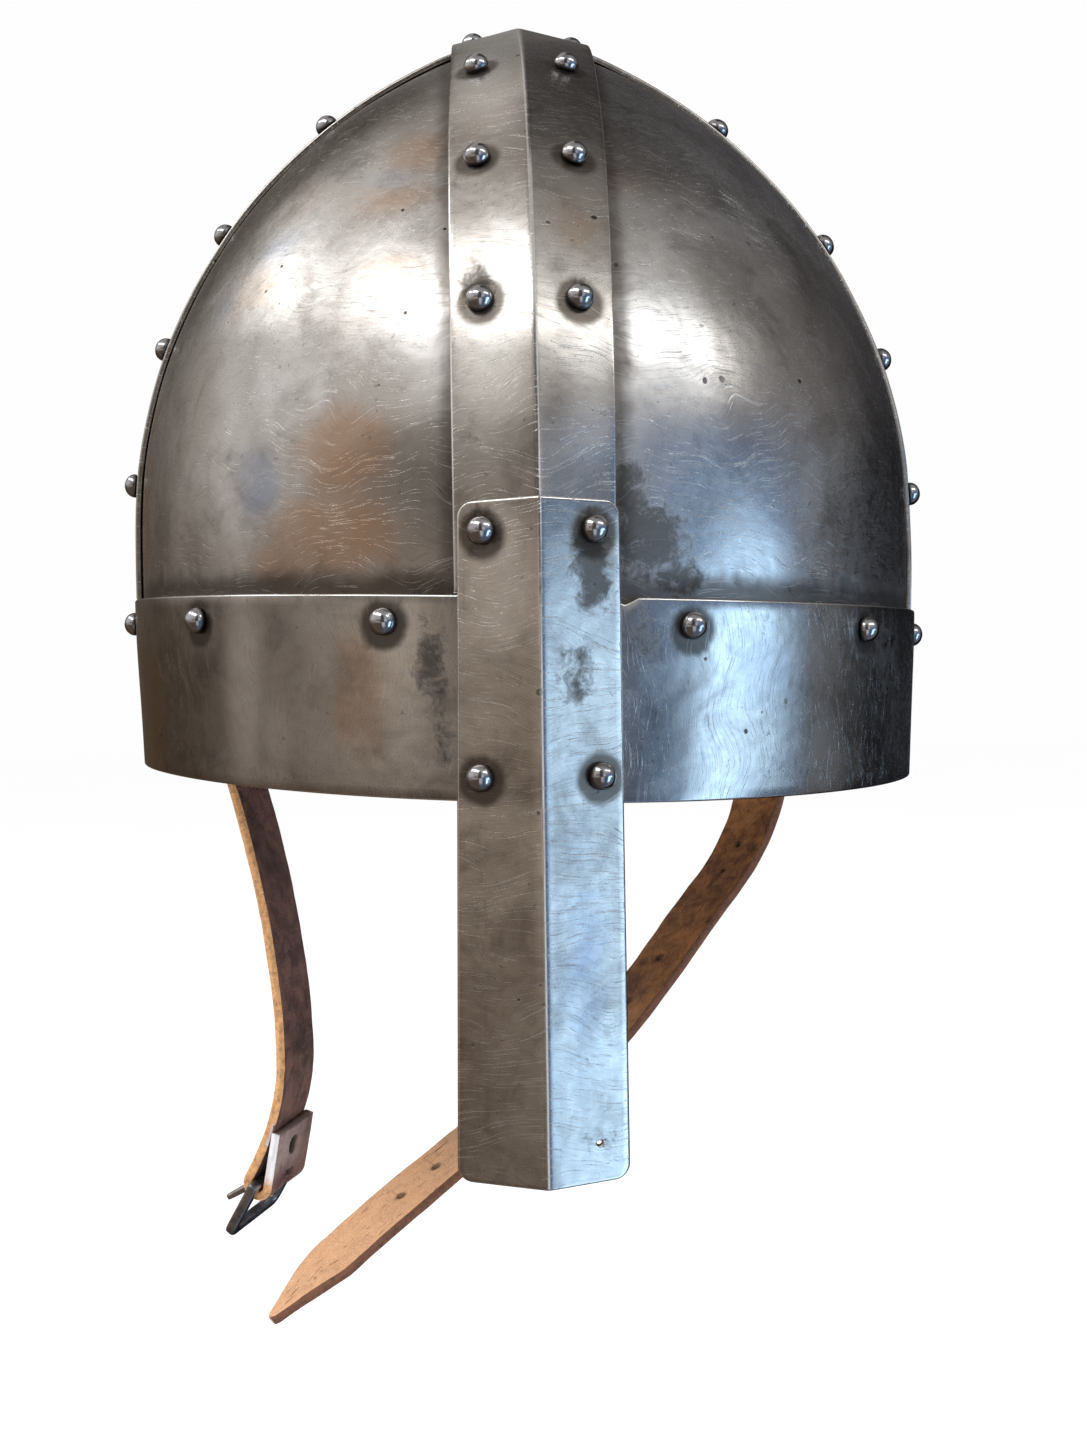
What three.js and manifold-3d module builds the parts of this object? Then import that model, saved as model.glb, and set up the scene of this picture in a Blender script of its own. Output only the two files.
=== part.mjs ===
// Spangenhelm helmet: four infill plates under two crossing bands, a brow band, a nasal bar,
// two chin strap halves and a buckle.
// Millimetres, +Z up, the front faces -Y. The origin is the middle of the rim, where a head enters.
// Left and right are those of a person who looks at the front: left is -X.

import * as THREE from 'three';
import { mergeVertices } from 'three/addons/utils/BufferGeometryUtils.js';
import Module from 'manifold-3d';

const wasm = await Module();
wasm.setup();

// Clearance between pieces that touch, and what their facets may take off it
const gap = 0.3;
const facetSlack = 0.15;

// Dome, measured on the outside of the infill plates
const domeHalfWidth = 102.9;
const domeHalfLength = 117.9;
const domeHeight = 199.4;

// Dome sections: height as a share of domeHeight, reach as a share of the half-width and half-length
const domeSections = [
  { height: 0.0, reach: 0.981 },
  { height: 0.11, reach: 0.989 },
  { height: 0.22, reach: 0.998 },
  { height: 0.302, reach: 1.0 },
  { height: 0.403, reach: 0.993 },
  { height: 0.504, reach: 0.957 },
  { height: 0.605, reach: 0.888 },
  { height: 0.705, reach: 0.784 },
  { height: 0.786, reach: 0.663 },
  { height: 0.857, reach: 0.523 },
  { height: 0.907, reach: 0.391 },
  { height: 0.956, reach: 0.233 },
  { height: 0.983, reach: 0.11 },
  { height: 1.0, reach: 0.0 },
];

// Length that one radian of bend counts for, where a surface is cut into facets
const bendWeight = 70;

// Infill plates
const plateThickness = 1.5;
const plateFootHeight = 22;
const plateTuck = 8;

// Ridge band, from front to back over the apex
const ridgeBandReachLeft = 18.6;
const ridgeBandReachLeftTop = 17.6;
const ridgeBandReachTop = 18.4;
const ridgeBandReachFoot = 16.7;
const ridgeBandThickness = 1.6;
const ridgeCrest = 3.4;
const apexCrest = 2.6;
const ridgeStepLength = 52;

// Cross band, from side to side below the ridge band
const crossBandHalfWidth = 17.4;
const crossBandThickness = 1.5;

// Brow band: its rim and top edge rise a little at the sides, and its right side sits lower
const browHeight = 45.2;
const browThickness = 1.8;
const browFootRise = 3.0;
const browTopRise = 0.9;
const browTilt = 2.9;

// Nasal bar
const nasalTopHeight = 65.6;
const nasalDrop = 82.6;
const nasalReachTop = 17.6;
const nasalReachFootLeft = 19.7;
const nasalReachFootRight = 18.2;
const nasalRidgeHeight = 8.4;
const nasalThickness = 2.0;
const nasalCorner = 3.4;
const nasalPeak = 0.5;
const nasalHoleWidth = 1.3;
const nasalHoleRise = 8.5;
const nasalHoleReach = 11.3;

// Rivets
const rivetRadius = 3.1;
const rivetHeight = 3.2;
const ridgeRivetShare = { left: 0.63, right: 0.57 };
const ridgeRivetHeights = [175.5, 145.6, 109.8];
const ridgeRivetFootHeight = 60;
const apexRivetReach = { left: 11.8, right: 14.6 };
const crossRivetReach = 10.8;
const crossRivetHeights = [
  { left: 173.8, right: 172.3 },
  { left: 145.3, right: 141.5 },
  { left: 115.5, right: 111.1 },
  { left: 79.9, right: 75.3 },
];
const browRivetDrop = 6.0;
const browRivetAzimuths = [18.9, 48.7];
const browRivetBackAzimuth = 161;
const nasalRivetRows = [
  { height: 59.2, left: 11.4, right: 11.0 },
  { height: 6.0, left: 12.4, right: 11.9 },
];

// Leather straps
const strapWidth = 20.5;
const strapThickness = 2.8;
const strapHeadRoom = 7;
const strapLeaveHeight = 38.5;
const buckleStrap = {
  side: -1,
  azimuth: 112,
  length: 162,
  leans: [3, 16, 19, 14, 11, 7, 0, -21, -33],
  swings: [0, 0, 0, 0, 0, 0, 3, 8, 10],
};
const tailStrap = {
  side: 1,
  azimuth: 127,
  length: 269,
  leans: [3, 4, 22, 47, 45, 48, 66, 63, 61, 59, 54],
  swings: [0, 0],
};
const tailPointLength = 21;
const tailTipWidth = 3;
const strapHoleWidth = 2.6;
const strapHoleDistances = [48, 61, 77, 93, 109, 124, 140, 157];
const smallHoleWidth = 1.8;
const smallHoleDistances = [192, 202];

// Buckle: a flat loop whose top bar is held by the folded end of the strap, and a prong on that bar
const buckleBarWidth = 2.8;
const buckleThickness = 3.0;
const buckleSideBar = 3.0;
const buckleEndBar = 3.0;
const buckleSideClearance = 0.6;
const buckleLoop = 14.0;
const buckleCorner = 3.2;
const buckleBevel = 0.5;
const foldTurn = 198;
const foldLength = 17.8;
const foldSlotWidth = 5.0;
const foldSlotRise = 4.6;
const foldHoleWidth = 3.0;
const foldHoleLength = 6.0;
const foldHoleRise = 11.2;
const prongWidth = 4.0;
const prongThickness = 2.6;
const prongLength = 18.6;
const prongEyeWall = 1.3;
const prongOpenAngle = 28;

const steelColour = 0x6f6a64;
const brightSteelColour = 0x9a9c9f;
const darkSteelColour = 0x5d5852;
const brownLeatherColour = 0x4a2f26;
const tanLeatherColour = 0xa9744d;

const UP = new THREE.Vector3(0, 0, 1);
const degrees = Math.PI / 180;

// Small helpers

function vec(x, y, z) {
  return new THREE.Vector3(x, y, z);
}

function along(point, direction, distance) {
  return point.clone().addScaledVector(direction, distance);
}

function mix(a, b, share) {
  return a + (b - a) * share;
}

function smooth(share) {
  const t = Math.min(Math.max(share, 0), 1);
  return t * t * (3 - 2 * t);
}

// A smooth curve through a table that never overshoots its points, straight beyond its ends
function makeCurve(xs, ys) {
  const count = xs.length;
  const slopes = [];
  for (let i = 0; i < count - 1; i += 1) {
    slopes.push((ys[i + 1] - ys[i]) / (xs[i + 1] - xs[i]));
  }
  const tangents = [slopes[0]];
  for (let i = 1; i < count - 1; i += 1) {
    const product = slopes[i - 1] * slopes[i];
    tangents.push(product > 0 ? (2 * product) / (slopes[i - 1] + slopes[i]) : 0);
  }
  tangents.push(slopes[count - 2]);
  return (x) => {
    if (x <= xs[0]) return ys[0] + tangents[0] * (x - xs[0]);
    if (x >= xs[count - 1]) return ys[count - 1] + tangents[count - 1] * (x - xs[count - 1]);
    let i = 0;
    while (x > xs[i + 1]) i += 1;
    const step = xs[i + 1] - xs[i];
    const t = (x - xs[i]) / step;
    const rise = ys[i + 1] - ys[i];
    const start = tangents[i] * step;
    const end = tangents[i + 1] * step;
    return ys[i] + t * (start + t * (3 * rise - 2 * start - end + t * (start + end - 2 * rise)));
  };
}

// Straight steps between evenly spaced values
function evenTable(values) {
  return (share) => {
    const place = Math.min(Math.max(share, 0), 1) * (values.length - 1);
    const i = Math.min(Math.floor(place), values.length - 2);
    return mix(values[i], values[i + 1], place - i);
  };
}

// Solids

function closedGeometry(points, triangles) {
  let volume = 0;
  for (const [a, b, c] of triangles) {
    volume += points[a].dot(points[b].clone().cross(points[c]));
  }
  const position = points.flatMap((p) => [p.x, p.y, p.z]);
  const index = triangles.flatMap(([a, b, c]) => (volume > 0 ? [a, b, c] : [a, c, b]));
  const geometry = new THREE.BufferGeometry();
  geometry.setAttribute('position', new THREE.Float32BufferAttribute(position, 3));
  geometry.setIndex(index);
  return geometry;
}

// Closes the space between two grids of points, given as rows. A ring joins its last column to its first.
function shellGeometry(outer, inner, ring = false) {
  const rows = outer.length;
  const columns = outer[0].length;
  const points = [...outer.flat(), ...inner.flat()];
  const o = (r, c) => r * columns + (c % columns);
  const i = (r, c) => rows * columns + o(r, c);
  const triangles = [];
  const quad = (a, b, c, d) => {
    if (points[a].distanceTo(points[c]) <= points[b].distanceTo(points[d])) triangles.push([a, b, c], [a, c, d]);
    else triangles.push([a, b, d], [b, c, d]);
  };
  const lastRow = rows - 1;
  const lastColumn = columns - 1;
  for (let c = 0; c < (ring ? columns : lastColumn); c += 1) {
    for (let r = 0; r < lastRow; r += 1) {
      quad(o(r, c), o(r, c + 1), o(r + 1, c + 1), o(r + 1, c));
      quad(i(r, c), i(r + 1, c), i(r + 1, c + 1), i(r, c + 1));
    }
    quad(o(0, c + 1), o(0, c), i(0, c), i(0, c + 1));
    quad(o(lastRow, c), o(lastRow, c + 1), i(lastRow, c + 1), i(lastRow, c));
  }
  if (!ring) {
    for (let r = 0; r < lastRow; r += 1) {
      quad(o(r, 0), o(r + 1, 0), i(r + 1, 0), i(r, 0));
      quad(o(r + 1, lastColumn), o(r, lastColumn), i(r, lastColumn), i(r + 1, lastColumn));
    }
  }
  return closedGeometry(points, triangles);
}

function toManifold(geometry) {
  const bare = geometry.clone();
  bare.deleteAttribute('normal');
  bare.deleteAttribute('uv');
  const merged = mergeVertices(bare, 1e-4);
  return new wasm.Manifold(new wasm.Mesh({
    numProp: 3,
    vertProperties: new Float32Array(merged.attributes.position.array),
    triVerts: new Uint32Array(merged.index.array),
  }));
}

function fromManifold(solid) {
  const mesh = solid.getMesh();
  const geometry = new THREE.BufferGeometry();
  geometry.setAttribute('position', new THREE.Float32BufferAttribute(mesh.vertProperties, 3));
  geometry.setIndex(Array.from(mesh.triVerts));
  return geometry;
}

function subtractAll(geometry, cutters) {
  let solid = toManifold(geometry);
  for (const cutter of cutters) {
    solid = solid.subtract(toManifold(cutter));
  }
  return fromManifold(solid);
}

// A round drill through a point, along a direction
function drillGeometry(point, direction, width, depth, sides = 8) {
  const drill = new THREE.CylinderGeometry(width / 2, width / 2, depth, sides);
  const turn = new THREE.Quaternion().setFromUnitVectors(vec(0, 1, 0), direction.clone().normalize());
  drill.applyQuaternion(turn);
  drill.translate(point.x, point.y, point.z);
  return drill;
}

// The dome's form

const domeReach = makeCurve(
  domeSections.map((row) => row.height * domeHeight),
  domeSections.map((row) => row.reach),
);
const widestHeight = domeSections.find((row) => row.reach === 1).height * domeHeight;

function domeTopHeight(reach) {
  let low = widestHeight;
  let high = domeHeight;
  for (let i = 0; i < 40; i += 1) {
    const middle = (low + high) / 2;
    if (domeReach(middle) > reach) low = middle;
    else high = middle;
  }
  return (low + high) / 2;
}

function domeField(p) {
  return Math.hypot(p.x / domeHalfWidth, p.y / domeHalfLength) - domeReach(p.z);
}

function domeNormal(p) {
  if (Math.hypot(p.x, p.y) < 0.01) return UP.clone();
  const step = 0.05;
  const slope = (direction) => domeField(along(p, direction, step)) - domeField(along(p, direction, -step));
  return vec(slope(vec(1, 0, 0)), slope(vec(0, 1, 0)), slope(UP)).normalize();
}

// Where a line from outside, in a direction, first meets the dome
function dropToDome(start, direction) {
  let near = 0;
  let far = 60;
  for (let i = 0; i < 40; i += 1) {
    const middle = (near + far) / 2;
    if (domeField(along(start, direction, middle)) > 0) near = middle;
    else far = middle;
  }
  return along(start, direction, near);
}

// A point of the dome at an azimuth from the front, positive to the right, and at a height
function domePoint(azimuth, z) {
  const reach = domeReach(z);
  return vec(domeHalfWidth * reach * Math.sin(azimuth), -domeHalfLength * reach * Math.cos(azimuth), z);
}

function levelNormal(p) {
  const normal = domeNormal(p);
  normal.z = 0;
  return normal.normalize();
}

// Heights that cut the dome's side profile into steps, shorter where it bends more
function evenHeights(from, to, count) {
  const fine = 400;
  const lengths = [0];
  let heading = null;
  for (let k = 1; k <= fine; k += 1) {
    const z0 = mix(from, to, (k - 1) / fine);
    const z1 = mix(from, to, k / fine);
    const run = domeHalfLength * (domeReach(z1) - domeReach(z0));
    const newHeading = Math.atan2(z1 - z0, run);
    const bend = heading === null ? 0 : Math.abs(newHeading - heading);
    heading = newHeading;
    lengths.push(lengths[k - 1] + Math.hypot(run, z1 - z0) + bendWeight * bend);
  }
  const heights = [];
  let k = 0;
  for (let i = 0; i <= count; i += 1) {
    const target = (lengths[fine] * i) / count;
    while (k < fine && lengths[k] < target) k += 1;
    heights.push(mix(from, to, k / fine));
  }
  return heights;
}

// Edges of the brow band at an azimuth
function browFootHeight(azimuth) {
  return browFootRise * Math.sin(azimuth) ** 2 - browTilt * Math.sin(azimuth);
}

function browTopHeight(azimuth) {
  return browHeight + browTopRise * Math.sin(azimuth) ** 2 - browTilt * Math.sin(azimuth);
}

const bandSeat = gap + facetSlack;
const browBuild = bandSeat + browThickness;
const crossBuild = bandSeat + crossBandThickness;

// Infill plates

function plateGeometry(sideX, sideY) {
  const columns = 12;
  const rows = 14;
  const ridgeReach = sideX < 0 ? ridgeBandReachLeft : ridgeBandReachFoot;
  const edgeX = ridgeReach - plateTuck;
  const edgeY = crossBandHalfWidth - plateTuck;
  const tipReach = 1.35 * Math.hypot(edgeX / domeHalfWidth, edgeY / domeHalfLength);
  const outer = [];
  const inner = [];
  for (const z of evenHeights(plateFootHeight, domeTopHeight(tipReach), rows)) {
    const reach = domeReach(z);
    const start = Math.asin(edgeX / (domeHalfWidth * reach));
    const end = Math.acos(edgeY / (domeHalfLength * reach));
    const outerRow = [];
    const innerRow = [];
    for (let c = 0; c <= columns; c += 1) {
      const angle = mix(start, end, c / columns);
      const azimuth = sideY < 0 ? sideX * angle : sideX * (Math.PI - angle);
      const p = domePoint(azimuth, z);
      outerRow.push(p);
      innerRow.push(along(p, domeNormal(p), -plateThickness));
    }
    outer.push(outerRow);
    inner.push(innerRow);
  }
  return shellGeometry(outer, inner);
}

// Cross band

function crossSectionCentre(side, z) {
  return vec(side * domeHalfWidth * domeReach(z), 0, z);
}

function crossBandPoint(side, z, y, offset) {
  const centre = crossSectionCentre(side, z);
  const normal = domeNormal(centre);
  const hit = dropToDome(along(centre, normal, crossBandHalfWidth).add(vec(0, y, 0)), normal.clone().negate());
  return along(hit, normal, offset);
}

function crossBandGeometry() {
  const steps = 16;
  const columns = 6;
  const footHeight = (side) => browTopHeight((side * Math.PI) / 2) + gap;
  const left = evenHeights(footHeight(-1), domeHeight, steps).map((z) => [-1, z]);
  const right = evenHeights(footHeight(1), domeHeight, steps).map((z) => [1, z]);
  const sections = [...left, ...right.reverse().slice(1)];
  const row = (offset) => ([side, z]) => {
    const points = [];
    for (let c = 0; c <= columns; c += 1) {
      const y = mix(-crossBandHalfWidth, crossBandHalfWidth, c / columns);
      points.push(crossBandPoint(side, z, y, offset));
    }
    return points;
  };
  const band = shellGeometry(sections.map(row(crossBuild)), sections.map(row(bandSeat)));
  return subtractAll(band, [ridgeClearanceGeometry()]);
}

// Ridge band: two flat slopes that meet in a ridge, lifted over the cross band near the apex

function ridgeReach(sideX, z) {
  if (sideX < 0) return mix(ridgeBandReachLeft, ridgeBandReachLeftTop, smooth(4 * (z / domeHeight) - 3));
  return mix(ridgeBandReachFoot, ridgeBandReachTop, smooth(z / domeHeight));
}

function ridgeLift(y) {
  const crossing = crossBandHalfWidth + plateTuck / 2;
  const share = smooth((Math.abs(y) - crossing) / ridgeStepLength);
  return { edge: bandSeat + crossBuild * (1 - share), crest: bandSeat + mix(apexCrest, ridgeCrest, share) };
}

// Inner and outer points of the band's section at a height: left edge, ridge, right edge
function ridgeSection(sideY, z) {
  const centre = vec(0, sideY * domeHalfLength * domeReach(z), z);
  const normal = domeNormal(centre);
  const lift = ridgeLift(centre.y);
  const edge = (sideX) => {
    const reach = ridgeReach(sideX, z);
    const start = along(centre, normal, ridgeBandReachLeft).add(vec(sideX * reach, 0, 0));
    return along(dropToDome(start, normal.clone().negate()), normal, lift.edge);
  };
  const leftEdge = edge(-1);
  const rightEdge = edge(1);
  const ridge = along(centre, normal, lift.crest);
  const slope = Math.atan(ridge.clone().sub(leftEdge).dot(normal) / ridgeBandReachLeft);
  const inner = [leftEdge, ridge, rightEdge];
  const outer = inner.map((p) => along(p, normal, ridgeBandThickness / Math.cos(slope)));
  return { inner, outer, normal };
}

// The band's foot follows the brow band's top edge
function ridgeFoot(sideY) {
  const footAt = (x) => {
    const azimuth = Math.asin(x / domeHalfWidth);
    return browTopHeight(azimuth) + gap;
  };
  const section = ridgeSection(sideY, footAt(0));
  for (const points of [section.inner, section.outer]) {
    points[0].z = footAt(-ridgeBandReachLeft);
    points[2].z = footAt(ridgeBandReachFoot);
  }
  return section;
}

function ridgeSections() {
  const crossingHeight = domeTopHeight((crossBandHalfWidth + gap) / domeHalfLength);
  const lowest = browHeight + gap;
  const heights = [
    ...evenHeights(lowest, crossingHeight, 15).slice(1),
    ...evenHeights(crossingHeight, domeHeight, 2).slice(1),
  ];
  const front = [ridgeFoot(-1), ...heights.map((z) => ridgeSection(-1, z))];
  const back = [ridgeFoot(1), ...heights.slice(0, -1).map((z) => ridgeSection(1, z))];
  return [...front, ...back.reverse()];
}

function ridgeBandGeometry() {
  const sections = ridgeSections();
  return shellGeometry(sections.map((s) => s.outer), sections.map((s) => s.inner));
}

// Room for the ridge band where it crosses the cross band
function ridgeClearanceGeometry() {
  const sections = ridgeSections().filter((s) => Math.abs(s.inner[1].y) < 2 * crossBandHalfWidth);
  const lifted = (offset) => sections.map((s) => s.inner.map((p) => along(p, s.normal, offset)));
  return shellGeometry(lifted(crossBuild), lifted(-gap));
}

// Brow band

function browBandGeometry() {
  const columns = 72;
  const rowShares = [0, 0.5, 1];
  const row = (offset) => (share) => {
    const points = [];
    for (let c = 0; c < columns; c += 1) {
      const azimuth = (c / columns) * 2 * Math.PI;
      const p = domePoint(azimuth, mix(browFootHeight(azimuth), browTopHeight(azimuth), share));
      points.push(along(p, levelNormal(p), offset));
    }
    return points;
  };
  return shellGeometry(rowShares.map(row(browBuild)), rowShares.map(row(bandSeat)), true);
}

// Nasal bar: it lies on the brow band and hangs straight below the rim

function nasalSeat(x, z) {
  const height = Math.max(z, 0);
  const reach = domeReach(height);
  return -domeHalfLength * reach * Math.sqrt(1 - (x / (domeHalfWidth * reach)) ** 2) - browBuild - gap;
}

function nasalReach(sideX, z) {
  const share = (nasalTopHeight - z) / (nasalTopHeight + nasalDrop);
  return mix(nasalReachTop, sideX < 0 ? nasalReachFootLeft : nasalReachFootRight, share);
}

// Left edge, ridge and right edge of the bar's inner side
function nasalRow({ z, inset, peak }) {
  const left = -(nasalReach(-1, z) - inset);
  const right = nasalReach(1, z) - inset;
  const leftSeat = nasalSeat(left, z);
  const rightSeat = nasalSeat(right, z);
  const spread = 1 - inset / nasalReachTop;
  const ridgeSeat = (leftSeat + rightSeat) / 2 - nasalRidgeHeight;
  const lowerLeft = mix(ridgeSeat, leftSeat, spread);
  const lowerRight = mix(ridgeSeat, rightSeat, spread);
  return [vec(left, lowerLeft, z), vec(0, ridgeSeat, z + peak), vec(right, lowerRight, z)];
}

function nasalGeometry() {
  const cornerSteps = 3;
  const rows = [];
  const corner = (turn) => ({
    inset: nasalCorner * (1 - Math.sin(turn)),
    rise: nasalCorner * (1 - Math.cos(turn)),
    peak: nasalPeak * Math.cos(turn),
  });
  for (let k = 0; k <= cornerSteps; k += 1) {
    const { inset, rise, peak } = corner((k / cornerSteps) * 90 * degrees);
    rows.push({ z: nasalTopHeight - rise, inset, peak });
  }
  for (const share of [0.8, 0.6, 0.4, 0.2, 0]) {
    rows.push({ z: (nasalTopHeight - nasalCorner) * share, inset: 0, peak: 0 });
  }
  for (let k = cornerSteps; k >= 0; k -= 1) {
    const { inset, rise, peak } = corner((k / cornerSteps) * 90 * degrees);
    rows.push({ z: rise - nasalDrop, inset, peak: -peak });
  }
  const inner = rows.map(nasalRow);
  const slope = Math.atan(nasalRidgeHeight / nasalReachTop);
  const forward = vec(0, -nasalThickness / Math.cos(slope), 0);
  const outer = inner.map((row) => row.map((p) => p.clone().add(forward)));
  const holePoint = vec(nasalHoleReach, nasalSeat(nasalHoleReach, 0), nasalHoleRise - nasalDrop);
  const hole = drillGeometry(holePoint, vec(0, 1, 0), nasalHoleWidth, 4 * (nasalRidgeHeight + nasalThickness));
  return subtractAll(shellGeometry(outer, inner), [hole]);
}

// Rivet heads

function rivetGeometry() {
  const arcSteps = 3;
  const profile = [new THREE.Vector2(0, 0)];
  for (let k = 0; k <= arcSteps; k += 1) {
    const turn = (k / (arcSteps + 1)) * 90 * degrees;
    profile.push(new THREE.Vector2(rivetRadius * Math.cos(turn), rivetHeight * Math.sin(turn)));
  }
  profile.push(new THREE.Vector2(0, rivetHeight));
  return new THREE.LatheGeometry(profile, 12);
}

// Straps

// Points and directions along a strap: down, across towards the far edge, and inwards
function strapPath({ side, azimuth, length, leans, swings }) {
  const turn = side * azimuth * degrees;
  const rivetZ = browRivetHeight(turn);
  const headHeight = rivetZ + strapHeadRoom;
  const inwards = levelNormal(domePoint(turn, headHeight)).negate();
  const across = vec(-inwards.y, inwards.x, 0).multiplyScalar(-side);
  const radius = wallRadius(turn);
  const bow = (strapWidth / 2) ** 2 / (2 * radius);
  const wallOffset = plateThickness + bandSeat + facetSlack + bow + strapThickness / 2;
  const start = along(domePoint(turn, strapLeaveHeight), inwards, wallOffset);
  const leanAt = evenTable(leans);
  const swingAt = evenTable(swings);
  const basis = (share) => {
    const lean = leanAt(share) * degrees;
    const swing = swingAt(share) * degrees;
    const plain = along(inwards.clone().multiplyScalar(Math.sin(lean)), UP, -Math.cos(lean));
    const face = along(inwards.clone().multiplyScalar(Math.cos(lean)), UP, Math.sin(lean));
    const down = plain.clone().multiplyScalar(Math.cos(swing)).addScaledVector(across, Math.sin(swing));
    const width = across.clone().multiplyScalar(Math.cos(swing)).addScaledVector(plain, -Math.sin(swing));
    return { down, width, face };
  };
  const first = basis(0);
  const head = along(start, UP, headHeight - strapLeaveHeight);
  const frames = [{ point: head, ...first }, { point: start, ...first }];
  const steps = Math.round(length / 7);
  let point = start;
  for (let k = 1; k <= steps; k += 1) {
    const middle = basis((k - 0.5) / steps);
    point = along(point, middle.down, length / steps);
    frames.push({ point, ...basis(k / steps) });
  }
  return frames;
}

// Radius of the dome's wall, seen from above
function wallRadius(azimuth) {
  const speed = Math.hypot(domeHalfWidth * Math.cos(azimuth), domeHalfLength * Math.sin(azimuth));
  return speed ** 3 / (domeHalfWidth * domeHalfLength);
}

// A flat strip along frames; each frame may have its own half width
function stripGeometry(frames) {
  const row = (sign) => (frame) => {
    const half = frame.half ?? strapWidth / 2;
    const centre = along(frame.point, frame.face, (sign * strapThickness) / 2);
    return [along(centre, frame.width, -half), along(centre, frame.width, half)];
  };
  return shellGeometry(frames.map(row(1)), frames.map(row(-1)));
}

// The frame at a distance from the strap's end
function frameFromEnd(frames, distance) {
  let left = distance;
  for (let k = frames.length - 1; k > 0; k -= 1) {
    const step = frames[k].point.distanceTo(frames[k - 1].point);
    if (left <= step) {
      const point = frames[k].point.clone().lerp(frames[k - 1].point, left / step);
      return { ...frames[k], point };
    }
    left -= step;
  }
  return frames[0];
}

function tailStrapGeometry() {
  const path = strapPath(tailStrap);
  const pointStart = frameFromEnd(path, tailPointLength);
  const body = path.filter((frame) => {
    const ahead = frame.point.clone().sub(pointStart.point).dot(pointStart.down);
    return ahead < -gap;
  });
  const end = { ...path[path.length - 1], half: tailTipWidth / 2 };
  const strip = stripGeometry([...body, pointStart, end]);
  const drills = [];
  const drill = (width) => (distance) => {
    const frame = frameFromEnd(path, distance);
    drills.push(drillGeometry(frame.point, frame.face, width, 3 * strapThickness));
  };
  strapHoleDistances.forEach(drill(strapHoleWidth));
  smallHoleDistances.forEach(drill(smallHoleWidth));
  return subtractAll(strip, drills);
}

// Buckle

const barCorner = Math.hypot(buckleBarWidth / 2, buckleThickness / 2 - buckleBevel);
const foldInnerRadius = barCorner + gap;
const foldRadius = foldInnerRadius + strapThickness / 2;
const bucklePath = strapPath(buckleStrap);
const buckleEnd = bucklePath[bucklePath.length - 1];
const barCentre = along(buckleEnd.point, buckleEnd.face, foldRadius);
const buckleUp = buckleEnd.down.clone().negate();

// Turns a geometry made with x across, y up along the strap and z inwards into the part's frame
function placeAtBar(geometry) {
  const matrix = new THREE.Matrix4().makeBasis(buckleEnd.width, buckleUp, buckleEnd.face);
  matrix.setPosition(barCentre);
  geometry.applyMatrix4(matrix);
  return geometry;
}

function buckleStrapGeometry() {
  const foldSteps = 9;
  const frames = [...bucklePath];
  for (let k = 1; k <= foldSteps; k += 1) {
    const turn = (k / foldSteps) * foldTurn * degrees;
    const face = buckleEnd.face.clone().multiplyScalar(Math.cos(turn)).addScaledVector(buckleUp, Math.sin(turn));
    frames.push({ point: along(barCentre, face, -foldRadius), width: buckleEnd.width, face });
  }
  const foldEnd = frames[frames.length - 1];
  const flapUp = buckleEnd.width.clone().cross(foldEnd.face);
  frames.push({ ...foldEnd, point: along(foldEnd.point, flapUp, foldLength) });
  const reach = foldRadius + strapThickness;
  const slot = placeAtBar(new THREE.BoxGeometry(foldSlotWidth, foldSlotRise + reach, 2 * reach)
    .translate(0, (foldSlotRise - reach) / 2, 0));
  const cutters = [slot];
  for (const shift of [-1, 0, 1]) {
    const rise = foldHoleRise + (shift * (foldHoleLength - foldHoleWidth)) / 2;
    const point = along(foldEnd.point, flapUp, rise);
    cutters.push(drillGeometry(point, foldEnd.face, foldHoleWidth, strapThickness + 2 * gap));
  }
  return subtractAll(stripGeometry(frames), cutters);
}

function buckleFrameGeometry() {
  const innerHalf = strapWidth / 2 + buckleSideClearance;
  const outerHalf = innerHalf + buckleSideBar - buckleBevel;
  const bar = buckleBarWidth / 2;
  const top = bar - buckleBevel;
  const end = -(bar + buckleLoop);
  const bottom = end - buckleEndBar + buckleBevel;
  const radius = buckleCorner - buckleBevel;
  const shape = new THREE.Shape();
  shape.moveTo(outerHalf, top);
  shape.lineTo(-outerHalf, top);
  shape.lineTo(-outerHalf, bottom + radius);
  shape.absarc(radius - outerHalf, bottom + radius, radius, Math.PI, 1.5 * Math.PI);
  shape.lineTo(outerHalf - radius, bottom);
  shape.absarc(outerHalf - radius, bottom + radius, radius, -Math.PI / 2, 0);
  const loop = new THREE.Path();
  const loopHalf = innerHalf + buckleBevel;
  loop.moveTo(-loopHalf, -bar + buckleBevel);
  loop.lineTo(loopHalf, -bar + buckleBevel);
  loop.lineTo(loopHalf, end - buckleBevel);
  loop.lineTo(-loopHalf, end - buckleBevel);
  shape.holes.push(loop);
  const geometry = new THREE.ExtrudeGeometry(shape, {
    depth: buckleThickness - 2 * buckleBevel,
    bevelEnabled: true,
    bevelThickness: buckleBevel,
    bevelSize: buckleBevel,
    bevelSegments: 1,
    curveSegments: 4,
  });
  geometry.translate(0, 0, buckleBevel - buckleThickness / 2);
  return placeAtBar(geometry);
}

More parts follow.
